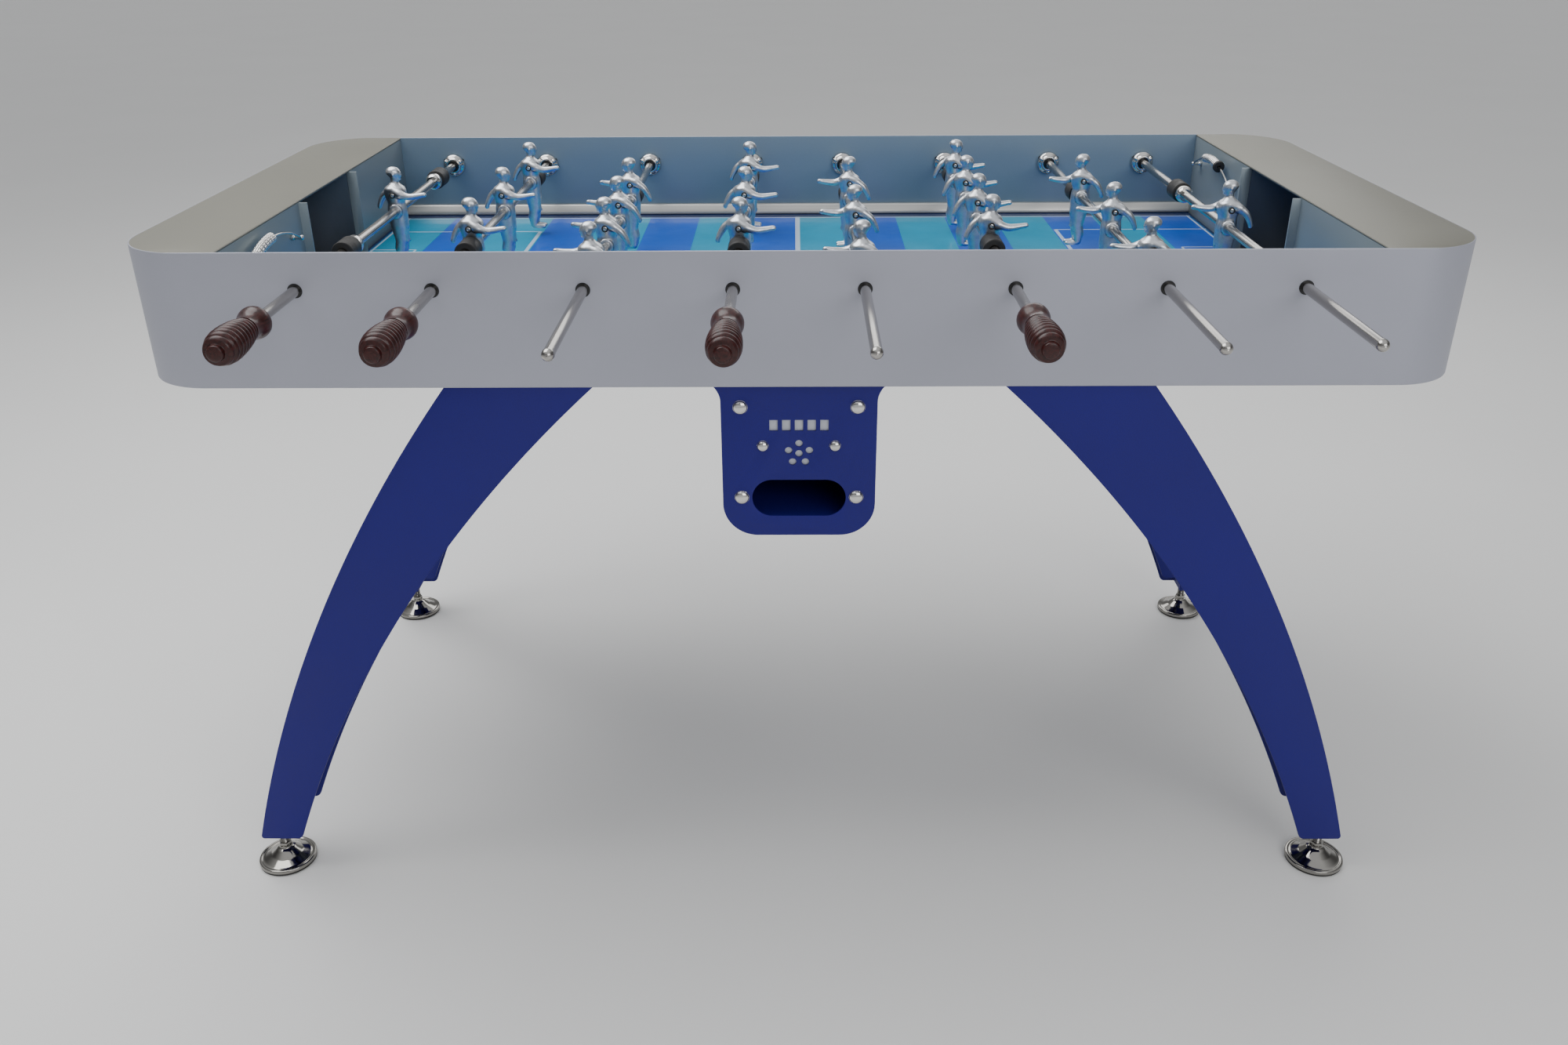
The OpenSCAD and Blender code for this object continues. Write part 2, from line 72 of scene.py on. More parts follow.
# Head radii of the pocket's outer and middle bolts, and the middle bolts' place under the wall.
BOLT_R = (8.75 * MM, 7 * MM)
MIDDLE_BOLT_X, MIDDLE_BOLT_DROP = 43 * MM, 79 * MM
# The pale sheet behind the pierced pattern, which makes its cut-outs look light grey: half its width, and its
# edges' depths under the wall.
LINER_X, LINER_LOW, LINER_HIGH = 56 * MM, 116 * MM, 38 * MM
# Stage: the floor's half width, the camera's place along X, and each lamp's name, place, target,
# size and power.
FLOOR_HALF = 45.0
CAMERA_X = -0.0047
LAMPS = (("key", (-1.3, 0.4, 3.2), (0, 0, 0.6), (3.2, 2.2), 88),
         ("fill", (1.6, -3.4, 2.2), (0, 0, 0.5), (2.6, 1.6), 42),
         ("back", (0.6, 3.0, 2.2), (0, 0, 0.8), (3.0, 1.0), 22))


def span(node, axis):
    """The lowest and highest place of a frame node along one axis."""
    low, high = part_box(node)
    return low[axis], high[axis]


def middle(node, axis):
    """The middle of a frame node along one axis."""
    return sum(span(node, axis)) / 2


END_X = span("side_shell", 0)[1]
SIDE_Y = span("side_shell", 1)[1]
WALL_Z, RIM_Z = span("side_shell", 2)
SHEET = RIM_Z - span("end_decks", 2)[0]
IN_Y = SIDE_Y - SHEET
IN_X = span("playfield_glass", 0)[1]
ROD_Z = middle("rod_1", 2)
ROD_R = (span("rod_3", 0)[1] - span("rod_3", 0)[0]) / 2 - 0.5 * MM


# ---------------------------------------------------------------- sizes and colours


class TableSizes(bpy.types.PropertyGroup):
    """Sizes of the details that the frame leaves plain."""

    corner_r: FloatProperty(name="Tub corner", description="Outside radius of the tub's upright corners",
                            default=85 * MM, unit="LENGTH")
    fold: FloatProperty(name="Fold radius", description="Rounding of folded and cut sheet edges",
                        default=1.4 * MM, unit="LENGTH")
    blade_fold: FloatProperty(name="Blade rounding", description="Rounding of the leg blades' edges",
                              default=1.0 * MM, unit="LENGTH")
    blade_corner: FloatProperty(name="Blade corner", description="Radius of the leg blades' lower corners",
                                default=6 * MM, unit="LENGTH")
    grooves: IntProperty(name="Grip grooves", description="Turned grooves round a handle's grip",
                         default=9, min=0, max=14)
    groove_depth: FloatProperty(name="Groove depth", description="Depth of a turned groove",
                                default=2.6 * MM, unit="LENGTH")
    voxel: FloatProperty(name="Figure grain", description="Voxel size that a cast figure is fused at",
                         default=0.95 * MM, unit="LENGTH")
    teeth: IntProperty(name="Bead teeth", description="Knurled teeth round a score bead",
                       default=22, min=8, max=40)
    band: FloatProperty(name="Pitch band", description="Width of a coloured band on the pitch",
                        default=80 * MM, unit="LENGTH")
    circle_r: FloatProperty(name="Centre circle", description="Radius of the printed centre circle",
                            default=84 * MM, unit="LENGTH")
    area_x: FloatProperty(name="Area depth", description="Distance of the large area's line from the middle",
                          default=405 * MM, unit="LENGTH")
    area_y: FloatProperty(name="Area width", description="Half the width of the large area",
                          default=244 * MM, unit="LENGTH")
    small_x: FloatProperty(name="Small area", description="Distance of the small area's line from the middle",
                           default=572 * MM, unit="LENGTH")
    small_y: FloatProperty(name="Small width", description="Half the width of the small area",
                           default=130 * MM, unit="LENGTH")


def colour(name, description, value):
    """A colour property with its default."""
    return FloatVectorProperty(name=name, description=description, default=value, subtype="COLOR",
                               size=3, min=0, max=1)


class TableColours(bpy.types.PropertyGroup):
    """The colours of the finishes, as linear values."""

    shell: colour("Tub paint", "Satin silver-blue paint outside the tub", (0.385, 0.395, 0.46))
    deck: colour("Deck paint", "The same paint on the decks, in warmer light", (0.185, 0.18, 0.148))
    # Painted shade and reflection: the goal walls have the tub's paint, and this duller, bluer colour paints
    # their shade and the blue pitch reflected in them.
    end_wall_shade_reflection: colour("End wall paint", "The duller paint of the goal walls", (0.24, 0.29, 0.315))
    # Painted shade and reflection: the inside of the tub has the outside's paint, and this darker, bluer
    # colour paints its shade and the blue pitch reflected in it.
    wall: colour("Inner wall paint", "The paint inside the tub", (0.20, 0.275, 0.35))
    legs: colour("Leg coat", "Navy powder coat on the legs and the pocket", (0.012, 0.009, 0.165))
    cyan: colour("Pitch cyan", "Lighter bands of the printed pitch", (0.0, 0.27, 0.44))
    blue: colour("Pitch blue", "Darker bands of the printed pitch", (0.0, 0.085, 0.50))
    line: colour("Pitch lines", "Printed lines of the pitch", (0.55, 0.66, 0.78))
    # Painted shadow: this dark navy colour paints the shadow in the gap beside the rails and at the foot of
    # the end walls.
    gap: colour("Pitch edge", "Unprinted edge of the glass", (0.004, 0.02, 0.09))
    wood: colour("Handle stain", "Red-brown stain of the turned handles", (0.032, 0.0052, 0.0045))
    cast: colour("Cast metal", "Bright cast alloy of the players", (0.66, 0.68, 0.71))
    steel: colour("Rod steel", "Polished steel of the rods", (0.42, 0.405, 0.385))
    chrome: colour("Chrome", "Plating of bearings, bolts and feet", (0.66, 0.65, 0.63))
    rail: colour("Rail", "Light metal rail beside the pitch", (0.62, 0.61, 0.575))


class TableStage(bpy.types.PropertyGroup):
    """Camera and light."""

    lens: FloatProperty(name="Lens", description="Focal length on a 36 mm sensor", default=29.306,
                        unit="CAMERA")
    camera_y: FloatProperty(name="Camera distance", description="Camera place along Y", default=-1.7624,
                            unit="LENGTH")
    camera_z: FloatProperty(name="Camera height", description="Camera height above the floor",
                            default=1.2191, unit="LENGTH")
    pitch: FloatProperty(name="Camera pitch", description="Downward tilt of the camera",
                         default=math.radians(26.07), unit="ROTATION")
    yaw: FloatProperty(name="Camera yaw", description="Turn of the camera about Z",
                       default=math.radians(0.559), unit="ROTATION")
    roll: FloatProperty(name="Camera roll", description="Roll of the camera about its own axis",
                        default=math.radians(-0.353), unit="ROTATION")


def sizes():
    """The scene's detail sizes."""
    return bpy.context.scene.table_sizes


def colours():
    """The scene's finish colours."""
    return bpy.context.scene.table_colours


# ---------------------------------------------------------------- shapes as arrays


class Shape:
    """Vertices with quads and triangles, as arrays, and the material number of each face."""

    def __init__(self, verts, quads=(), tris=(), slot=0):
        self.verts = np.asarray(verts, float).reshape(-1, 3)
        self.quads = np.asarray(quads, int).reshape(-1, 4)
        self.tris = np.asarray(tris, int).reshape(-1, 3)
        self.quad_slots = np.full(len(self.quads), slot)
        self.tri_slots = np.full(len(self.tris), slot)

    def __add__(self, other):
        """Both shapes in one, side by side."""
        n = len(self.verts)
        both = Shape(np.vstack((self.verts, other.verts)), np.vstack((self.quads, other.quads + n)),
                     np.vstack((self.tris, other.tris + n)))
        both.quad_slots = np.concatenate((self.quad_slots, other.quad_slots))
        both.tri_slots = np.concatenate((self.tri_slots, other.tri_slots))
        return both

    def placed(self, matrix):
        """The shape under a 4x4 matrix; a mirroring one also turns the faces round."""
        m = np.array(matrix, float)
        flip = -1 if np.linalg.det(m[:3, :3]) < 0 else 1
        copy = Shape(self.verts @ m[:3, :3].T + m[:3, 3], self.quads[:, ::flip], self.tris[:, ::flip])
        copy.quad_slots, copy.tri_slots = self.quad_slots, self.tri_slots
        return copy

    def at(self, x=0.0, y=0.0, z=0.0):
        """The shape moved by x, y and z."""
        return self.placed(Matrix.Translation((x, y, z)))


def together(shapes):
    """Many shapes in one."""
    shapes = list(shapes)
    total = shapes[0]
    for shape in shapes[1:]:
        total = total + shape
    return total


def skin(points, slot=0, loop=False):
    """Closed rings joined row to row. points is rows x columns x 3, and each row is one closed ring.
    With loop the last row joins the first; otherwise both ends close in a fan round their middle."""
    rows, cols = points.shape[:2]
    grid = np.arange(rows * cols).reshape(rows, cols)
    if loop:
        grid = np.vstack((grid, grid[:1]))
    nxt = np.roll(grid, -1, axis=1)
    quads = np.stack((grid[:-1], nxt[:-1], nxt[1:], grid[1:]), axis=-1).reshape(-1, 4)
    verts = points.reshape(-1, 3)
    if loop:
        return Shape(verts, quads, slot=slot)
    n = len(verts)
    verts = np.vstack((verts, points[0].mean(0), points[-1].mean(0)))
    first = np.stack((nxt[0], grid[0], np.full(cols, n)), axis=-1)
    last = np.stack((grid[-1], nxt[-1], np.full(cols, n + 1)), axis=-1)
    return Shape(verts, quads, np.vstack((first, last)), slot)


def eased(points, radius, steps=4):
    """An open outline with each inner corner replaced by a curve: a quadratic arc between the points
    at distance radius (or 0.45 of the shorter side) before and after the corner."""
    p = np.asarray(points, float)
    before, after = p[:-2] - p[1:-1], p[2:] - p[1:-1]
    len_b = np.linalg.norm(before, axis=1, keepdims=True)
    len_a = np.linalg.norm(after, axis=1, keepdims=True)
    cut = np.minimum(radius, 0.45 * np.minimum(len_b, len_a))
    start, end = p[1:-1] + before / len_b * cut, p[1:-1] + after / len_a * cut
    t = np.linspace(0, 1, steps)[None, :, None]
    arc = (1 - t) ** 2 * start[:, None] + 2 * t * (1 - t) * p[1:-1, None] + t**2 * end[:, None]
    return np.vstack((p[:1], arc.reshape(-1, p.shape[1]), p[-1:]))


def lathe(profile, sides=40, slot=0, ring=False):
    """A turned shape round Z: radius and height pairs, carried round a circle. A plain profile runs
    from bottom to top and closes on the axis. With ring it is a closed outline that runs up on the
    outside and down on the inside."""
    profile = np.asarray(profile, float)
    angle = np.arange(sides) * TAU / sides
    points = np.empty((len(profile), sides, 3))
    points[..., 0] = profile[:, :1] * np.cos(angle)
    points[..., 1] = profile[:, :1] * np.sin(angle)
    points[..., 2] = profile[:, 1:]
    return skin(points, slot, loop=ring)


def tube(path, radius, sides=12, up=(0, 1, 0), flat=1.0, slot=0):
    """A round bar along a path: circles at right angles to the path's direction, with the radius of
    each point, flattened across the second direction by flat, and half-round ends."""
    path = np.asarray(path, float)
    radius = np.broadcast_to(np.asarray(radius, float), len(path)).copy()
    along = np.gradient(path, axis=0)
    along /= np.linalg.norm(along, axis=1, keepdims=True)
    side = np.cross(along, np.asarray(up, float))
    side /= np.linalg.norm(side, axis=1, keepdims=True)
    over = np.cross(side, along)
    turn = np.radians([5, 25, 50, 72])
    start = path[0] - along[0] * radius[0] * np.cos(turn)[:, None]
    end = path[-1] + along[-1] * radius[-1] * np.cos(turn[::-1])[:, None]
    path = np.vstack((start, path, end))
    radius = np.concatenate((radius[0] * np.sin(turn), radius, radius[-1] * np.sin(turn[::-1])))
    side = np.pad(side, ((4, 4), (0, 0)), mode="edge")
    over = np.pad(over, ((4, 4), (0, 0)), mode="edge")
    angle = np.arange(sides) * TAU / sides
    ring = (np.cos(angle)[None, :, None] * side[:, None] +
            flat * np.sin(angle)[None, :, None] * over[:, None])
    return skin(path[:, None] + radius[:, None, None] * ring, slot)


def smooth_path(points, count):
    """A curve through the points: each coordinate is a Catmull-Rom spline, sampled evenly."""
    p = np.asarray(points, float)
    ends = np.vstack((2 * p[0] - p[1], p, 2 * p[-1] - p[-2]))
    u = np.linspace(0, len(p) - 1, count)
    i = np.minimum(u.astype(int), len(p) - 2)
    t = (u - i)[:, None]
    a, b, c, d = ends[i], ends[i + 1], ends[i + 2], ends[i + 3]
    return 0.5 * (2 * b + (c - a) * t + (2 * a - 5 * b + 4 * c - d) * t**2 +
                  (3 * b - a - 3 * c + d) * t**3)


def slab(stations, low, high, near, far, radius, axis=2):
    """A flat-sided bar: at each station along the axis a rectangle from low to high and from near to
    far, with rounded corners. Towards each end it shrinks along a quarter circle, which rounds the
    end over by the same radius. The cross axes are the two others in cyclic order."""
    s = np.asarray(stations, float)
    turn = np.linspace(0, math.pi / 2, 4)[:-1]
    step, trim = radius * (1 - np.cos(turn)), radius * (1 - np.sin(turn))
    inner = s[(s > s[0] + radius) & (s < s[-1] - radius)]
    place = np.concatenate((s[0] + step, inner, s[-1] - step[::-1]))
    trim = np.concatenate((trim, np.zeros(len(inner)), trim[::-1]))
    low, high, near, far = (np.interp(place, s, np.broadcast_to(v, s.shape)) for v in
                            (low, high, near, far))
    angle = np.concatenate([np.linspace(q, q + 1, 4) for q in range(4)]) * math.pi / 2
    quarter = np.repeat(np.arange(4), 4)
    at_high, at_far = (quarter == 0) | (quarter == 3), quarter < 2
    inset = (trim + radius)[:, None]
    a = np.where(at_high, high[:, None] - inset, low[:, None] + inset) + radius * np.cos(angle)
    b = np.where(at_far, far[:, None] - inset, near[:, None] + inset) + radius * np.sin(angle)
    points = np.empty(a.shape + (3,))
    points[..., axis] = place[:, None]
    points[..., (axis + 1) % 3] = a
    points[..., (axis + 2) % 3] = b
    return skin(points)


def mesh_object(name, shape, materials, crease=35.0):
    """A mesh object from a shape, smooth but for edges sharper than crease degrees."""
    mesh = bpy.data.meshes.new(name)
    mesh.vertices.add(len(shape.verts))
    mesh.vertices.foreach_set("co", shape.verts.ravel())
    loops = np.concatenate((shape.quads.ravel(), shape.tris.ravel()))
    sides = np.concatenate((np.full(len(shape.quads), 4), np.full(len(shape.tris), 3)))
    mesh.loops.add(len(loops))
    mesh.loops.foreach_set("vertex_index", loops)
    mesh.polygons.add(len(sides))
    mesh.polygons.foreach_set("loop_start", np.concatenate(([0], np.cumsum(sides)[:-1])))
    mesh.polygons.foreach_set("material_index", np.concatenate((shape.quad_slots, shape.tri_slots)))
    for material in materials:
        mesh.materials.append(material)
    mesh.update(calc_edges=True)
    mesh.validate()
    mesh.shade_smooth()
    mesh.set_sharp_from_angle(angle=math.radians(crease))
    made = bpy.data.objects.new(name, mesh)
    bpy.context.scene.collection.objects.link(made)
    return made


def add_piece(name, shape, materials, body, nodes, crease=35.0):
    """Makes a piece, lets it ride on its body and stand for its frame nodes."""
    made = mesh_object(name + "_look", shape, materials, crease)
    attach(made, body)
    if nodes:
        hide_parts(*nodes)
    return made


def applied(made):
    """The mesh of an object with its modifiers worked out, which then takes their place."""
    graph = bpy.context.evaluated_depsgraph_get()
    mesh = bpy.data.meshes.new_from_object(made.evaluated_get(graph))
    made.modifiers.clear()
    made.data = mesh
    return mesh


# ---------------------------------------------------------------- node helpers


class Num:
    """A number in a material. Writing + - * / and the named functions adds the Math node for it."""

    def __init__(self, tree, socket):
        self.tree, self.socket = tree, socket

    def op(self, kind, *others):
        """One Math node of that kind, with this number first."""
        node = self.tree.nodes.new("ShaderNodeMath")
        node.operation = kind
        for slot, value in enumerate((self,) + others):
            if isinstance(value, Num):
                self.tree.links.new(value.socket, node.inputs[slot])
            else:
                node.inputs[slot].default_value = value
        return Num(self.tree, node.outputs[0])

    def __add__(self, other):
        return self.op("ADD", other)

    def __sub__(self, other):
        return self.op("SUBTRACT", other)

    def __mul__(self, other):
        return self.op("MULTIPLY", other)

    def __truediv__(self, other):
        return self.op("DIVIDE", other)

    def near(self, value, reach):
        """1 where the number is within reach of value, 0 elsewhere."""
        return (self - value).op("ABSOLUTE").op("LESS_THAN", reach)


def new_node(tree, kind, **settings):
    """A node of that kind with its properties and, by name, its inputs set; a socket links."""
    node = tree.nodes.new("ShaderNode" + kind)
    for key, value in settings.items():
        label = key.replace("_", " ")
        if hasattr(node, key):
            setattr(node, key, value)
        elif isinstance(value, bpy.types.NodeSocket):
            tree.links.new(value, node.inputs[label])
        else:
            node.inputs[label].default_value = value
    return node


def rgba(value):
    """A colour with full alpha."""
    return tuple(value) + (1.0,)


def group(name, inputs, outputs, fill):
    """A shader node group with float inputs (name: default) and outputs (name: socket type), made
    once and filled by fill(tree, input sockets, output sockets)."""
    if name in bpy.data.node_groups:
        return bpy.data.node_groups[name]
    tree = bpy.data.node_groups.new(name, "ShaderNodeTree")
    for label, default in inputs.items():
        kind = "NodeSocketFloat" if isinstance(default, (int, float)) else "NodeSocketColor"
        socket = tree.interface.new_socket(label, in_out="INPUT", socket_type=kind)
        socket.default_value = default if kind == "NodeSocketFloat" else rgba(default)
    for label, kind in outputs.items():
        tree.interface.new_socket(label, in_out="OUTPUT", socket_type=kind)
    source, sink = tree.nodes.new("NodeGroupInput"), tree.nodes.new("NodeGroupOutput")
    fill(tree, source.outputs, lambda label, socket: tree.links.new(socket, sink.inputs[label]))
    return tree


def object_place(tree, scale=(1, 1, 1)):
    """Object coordinates, stretched by scale."""
    place = tree.nodes.new("ShaderNodeTexCoord").outputs["Object"]
    if scale == (1, 1, 1):
        return place
    mapping = new_node(tree, "Mapping", Vector=place)
    mapping.inputs["Scale"].default_value = scale
    return mapping.outputs[0]


def noise(tree, place, scale, detail=3.0, roughness=0.5):
    """A noise value, 0 to 1, of that many features to the metre."""
    node = new_node(tree, "TexNoise", Vector=place, Scale=scale, Detail=detail, Roughness=roughness)
    return node.outputs[0]


def ramp(tree, value, low, high, to_low=0.0, to_high=1.0):
    """value between low and high, carried to the range to_low to to_high and held at its ends."""
    node = new_node(tree, "MapRange", Value=value)
    for label, number in (("From Min", low), ("From Max", high), ("To Min", to_low), ("To Max", to_high)):
        node.inputs[label].default_value = number
    return node.outputs[0]


def mixed(tree, factor, a, b, blend="MIX"):
    """Colour a turned into colour b by the factor."""
    node = tree.nodes.new("ShaderNodeMix")
    node.data_type, node.blend_type = "RGBA", blend
    for slot, value in ((0, factor), (6, a), (7, b)):
        if isinstance(value, bpy.types.NodeSocket):
            tree.links.new(value, node.inputs[slot])
        else:
            node.inputs[slot].default_value = value
    return node.outputs[2]


def surface_wear():
    """Group: large soft smudges and fine grit, as a colour shift, a roughness shift and a height."""

    def fill(tree, given, give):
        place = object_place(tree)
        smudge = new_node(tree, "TexNoise", Vector=place, Scale=given["Smudge Scale"], Detail=4.0)
        grit = new_node(tree, "TexNoise", Vector=place, Scale=given["Grit Scale"], Detail=2.0)
        soft = ramp(tree, smudge.outputs[0], 0.3, 0.7)
        speck = ramp(tree, grit.outputs[0], 0.25, 0.75)
        both = (Num(tree, soft) - 0.5) * Num(tree, given["Smudge"]) + \
               (Num(tree, speck) - 0.5) * Num(tree, given["Grit"])
        give("Shade", (both + 1.0).socket)
        give("Roughness", (both + Num(tree, given["Roughness"])).socket)
        give("Height", speck)

    return group("Surface wear", {"Smudge Scale": 7.0, "Grit Scale": 900.0, "Smudge": 0.1, "Grit": 0.1,
                                  "Roughness": 0.4},
                 {"Shade": "NodeSocketFloat", "Roughness": "NodeSocketFloat",
                  "Height": "NodeSocketFloat"}, fill)


def turning_marks():
    """Group: fine rings left by turning or grinding round the Y axis, as a shade and a height."""

    def fill(tree, given, give):
        place = tree.nodes.new("ShaderNodeTexCoord").outputs["Object"]
        split = new_node(tree, "SeparateXYZ", Vector=place)
        rings = new_node(tree, "TexNoise", noise_dimensions="1D", Scale=given["Rings"], Detail=3.0)
        tree.links.new(split.outputs["Y"], rings.inputs["W"])
        ring = ramp(tree, rings.outputs[0], 0.3, 0.7)
        give("Shade", ((Num(tree, ring) - 0.5) * Num(tree, given["Depth"]) + 1.0).socket)
        give("Height", ring)

    return group("Turning marks", {"Rings": 900.0, "Depth": 0.1},
                 {"Shade": "NodeSocketFloat", "Height": "NodeSocketFloat"}, fill)


def use_group(tree, shared, **values):
    """A shared group placed in a material with its own values."""
    node = tree.nodes.new("ShaderNodeGroup")
    node.node_tree = shared
    for label, value in values.items():
        node.inputs[label.replace("_", " ")].default_value = value
    return node.outputs


def finish(name, build, metallic=0.0, roughness=None, **shader):
    """A material made once: build(tree, shader node) makes its pattern; other constants go on the
    shader's own sockets. Its name ends in finish, as the frame has plain materials of its own."""
    name += "_finish"
    if name in bpy.data.materials:
        return bpy.data.materials[name]
    material = bpy.data.materials.new(name)
    material.use_nodes = True
    tree = material.node_tree
    bsdf = tree.nodes["Principled BSDF"]
    bsdf.inputs["Metallic"].default_value = metallic
    if roughness is not None:
        bsdf.inputs["Roughness"].default_value = roughness
    for label, value in shader.items():
        bsdf.inputs[label.replace("_", " ")].default_value = value
    build(tree, bsdf)
    return material


def shade_by(tree, colour_value, factor):
    """A colour made lighter or darker by a factor round 1."""
    scale = new_node(tree, "CombineColor")
    for channel in range(3):
        tree.links.new(factor, scale.inputs[channel])
    return mixed(tree, 1.0, colour_value, scale.outputs[0], "MULTIPLY")


def bump(tree, bsdf, height, strength, distance):
    """Bump from a height, to the shader's normal."""
    node = new_node(tree, "Bump", Height=height, Strength=strength, Distance=distance)
    tree.links.new(node.outputs[0], bsdf.inputs["Normal"])


def worn(name, base, metallic, roughness, smudge=0.08, grit=0.06, grit_scale=900.0, smudge_scale=7.0,
         depth=0.04 * MM, strength=0.3, **shader):
    """A finish with the shared wear over one base colour."""

    def build(tree, bsdf):
        wear = use_group(tree, surface_wear(), Smudge_Scale=smudge_scale, Grit_Scale=grit_scale,
                         Smudge=smudge, Grit=grit, Roughness=roughness)
        tree.links.new(shade_by(tree, rgba(base), wear["Shade"]), bsdf.inputs["Base Color"])
        tree.links.new(wear["Roughness"], bsdf.inputs["Roughness"])
        bump(tree, bsdf, wear["Height"], strength, depth)

    return finish(name, build, metallic, **shader)


# ---------------------------------------------------------------- finishes


def shell_paint():
    """Satin silver-blue paint with a fine metallic grain; the inner faces take a darker, bluer copy of it,
    which is painted shade and a painted reflection of the blue pitch.
    """

    def build(tree, bsdf):
        wear = use_group(tree, surface_wear(), Smudge_Scale=5.0, Grit_Scale=1500.0, Smudge=0.06,
                         Grit=0.10, Roughness=0.46)
        split = new_node(tree, "SeparateXYZ", Vector=object_place(tree))
        r = sizes().corner_r
        past_x = (Num(tree, split.outputs[0]).op("ABSOLUTE") - (END_X - r)).op("MAXIMUM", 0.0)
        past_y = (Num(tree, split.outputs[1]).op("ABSOLUTE") - (SIDE_Y - r)).op("MAXIMUM", 0.0)
        # Mask of the inner faces, which get the painted shade and reflection colour.
        inside = (past_x * past_x + past_y * past_y).op("SQRT").op("LESS_THAN", r - 0.9 * SHEET)
        paint = mixed(tree, inside.socket, rgba(colours().shell), rgba(colours().wall))
        tree.links.new(shade_by(tree, paint, wear["Shade"]), bsdf.inputs["Base Color"])
        tree.links.new(wear["Roughness"], bsdf.inputs["Roughness"])
        bump(tree, bsdf, wear["Height"], 0.25, 0.03 * MM)

    return finish("shell_paint", build, 0.35)


def deck_paint():
    """The tub's paint on the decks, warmer and darker: painted warm light from above on the same paint."""
    return worn("deck_paint", colours().deck, 0.25, 0.48, 0.06, 0.10, 1500.0, 5.0, 0.03 * MM, 0.25)


def wall_paint():
    """The tub's paint on the goal walls, made duller and bluer: painted shade and a painted reflection of the
    pitch.
    """
    return worn("wall_paint", colours().end_wall_shade_reflection, 0.3, 0.42, 0.07, 0.10, 1500.0, 6.0, 0.03 * MM, 0.25)


def leg_coat():
    """Navy powder coat with an orange-peel texture."""
    return worn("leg_coat", colours().legs, 0.0, 0.50, 0.10, 0.22, 800.0, 6.0, 0.12 * MM, 0.5,
                Specular_IOR_Level=0.28)


def dark_sheet():
    """Dark grey paint inside the goals and over the ball return."""
    return worn("dark_sheet", (0.085, 0.10, 0.125), 0.2, 0.5, 0.2, 0.1, 900.0, 9.0)


def pale_liner():
    """Pale satin sheet behind the pierced pattern, which makes its cut-outs look light grey."""
    return worn("pale_liner", (0.52, 0.54, 0.60), 0.3, 0.5, 0.10, 0.08, 900.0, 30.0)


def board_laminate():
    """Dark blue laminate under the glass."""
    return worn("board_laminate", (0.012, 0.02, 0.055), 0.0, 0.55, 0.15, 0.1, 700.0, 9.0)


def rail_metal():
    """Satin light metal, drawn along X."""

    def build(tree, bsdf):
        streak = noise(tree, object_place(tree, (2, 900, 900)), 1.0, 3.0)
        tone = ramp(tree, streak, 0.3, 0.7, 0.9, 1.08)
        tree.links.new(shade_by(tree, rgba(colours().rail), tone), bsdf.inputs["Base Color"])
        tree.links.new(ramp(tree, streak, 0.3, 0.7, 0.28, 0.42), bsdf.inputs["Roughness"])
        bump(tree, bsdf, streak, 0.2, 0.03 * MM)

    return finish("rail_metal", build, 0.6)


def chrome():
    """Bright plating with faint haze and hairline scratches."""
    return worn("chrome", colours().chrome, 1.0, 0.13, 0.10, 0.04, 1200.0, 60.0, 0.01 * MM, 0.2)


def dark_plating():
    """Darker plating of the levelling feet."""
    return worn("dark_plating", (0.30, 0.29, 0.27), 1.0, 0.09, 0.12, 0.04, 1200.0, 40.0, 0.01 * MM, 0.2)


def rod_steel():
    """Ground and polished steel, with fine rings round the rod."""

    def build(tree, bsdf):
        marks = use_group(tree, turning_marks(), Rings=1400.0, Depth=0.14)
        haze = noise(tree, object_place(tree, (40, 6, 40)), 1.0, 4.0)
        tree.links.new(shade_by(tree, rgba(colours().steel), marks["Shade"]), bsdf.inputs["Base Color"])
        tree.links.new(ramp(tree, haze, 0.35, 0.7, 0.14, 0.30), bsdf.inputs["Roughness"])
        bump(tree, bsdf, marks["Height"], 0.15, 0.01 * MM)

    return finish("rod_steel", build, 1.0)


def cast_metal():
    """Bright tumbled casting, with painted shade that makes it darker in its recesses, where it is also
    duller, and with a fine sand texture.
    """

    def build(tree, bsdf):
        hollow_shade = new_node(tree, "Attribute", attribute_name="hollow_shade").outputs["Fac"]
        sand = noise(tree, object_place(tree), 1100.0, 3.0, 0.6)
        stain = noise(tree, object_place(tree), 160.0, 3.0)
        # Painted shade in the recesses, with random stains added, turns the cast colour towards dark grey.
        depth = (Num(tree, ramp(tree, stain, 0.4, 0.75)) * 0.25 + Num(tree, hollow_shade)).op("MINIMUM", 1.0)
        tone = mixed(tree, depth.socket, rgba(colours().cast), (0.13, 0.135, 0.15, 1.0))
        tree.links.new(tone, bsdf.inputs["Base Color"])
        rough = Num(tree, ramp(tree, sand, 0.3, 0.7, 0.24, 0.40)) + depth * 0.2
        tree.links.new(rough.socket, bsdf.inputs["Roughness"])
        bump(tree, bsdf, sand, 0.35, 0.10 * MM)

    return finish("cast_metal", build, 1.0)


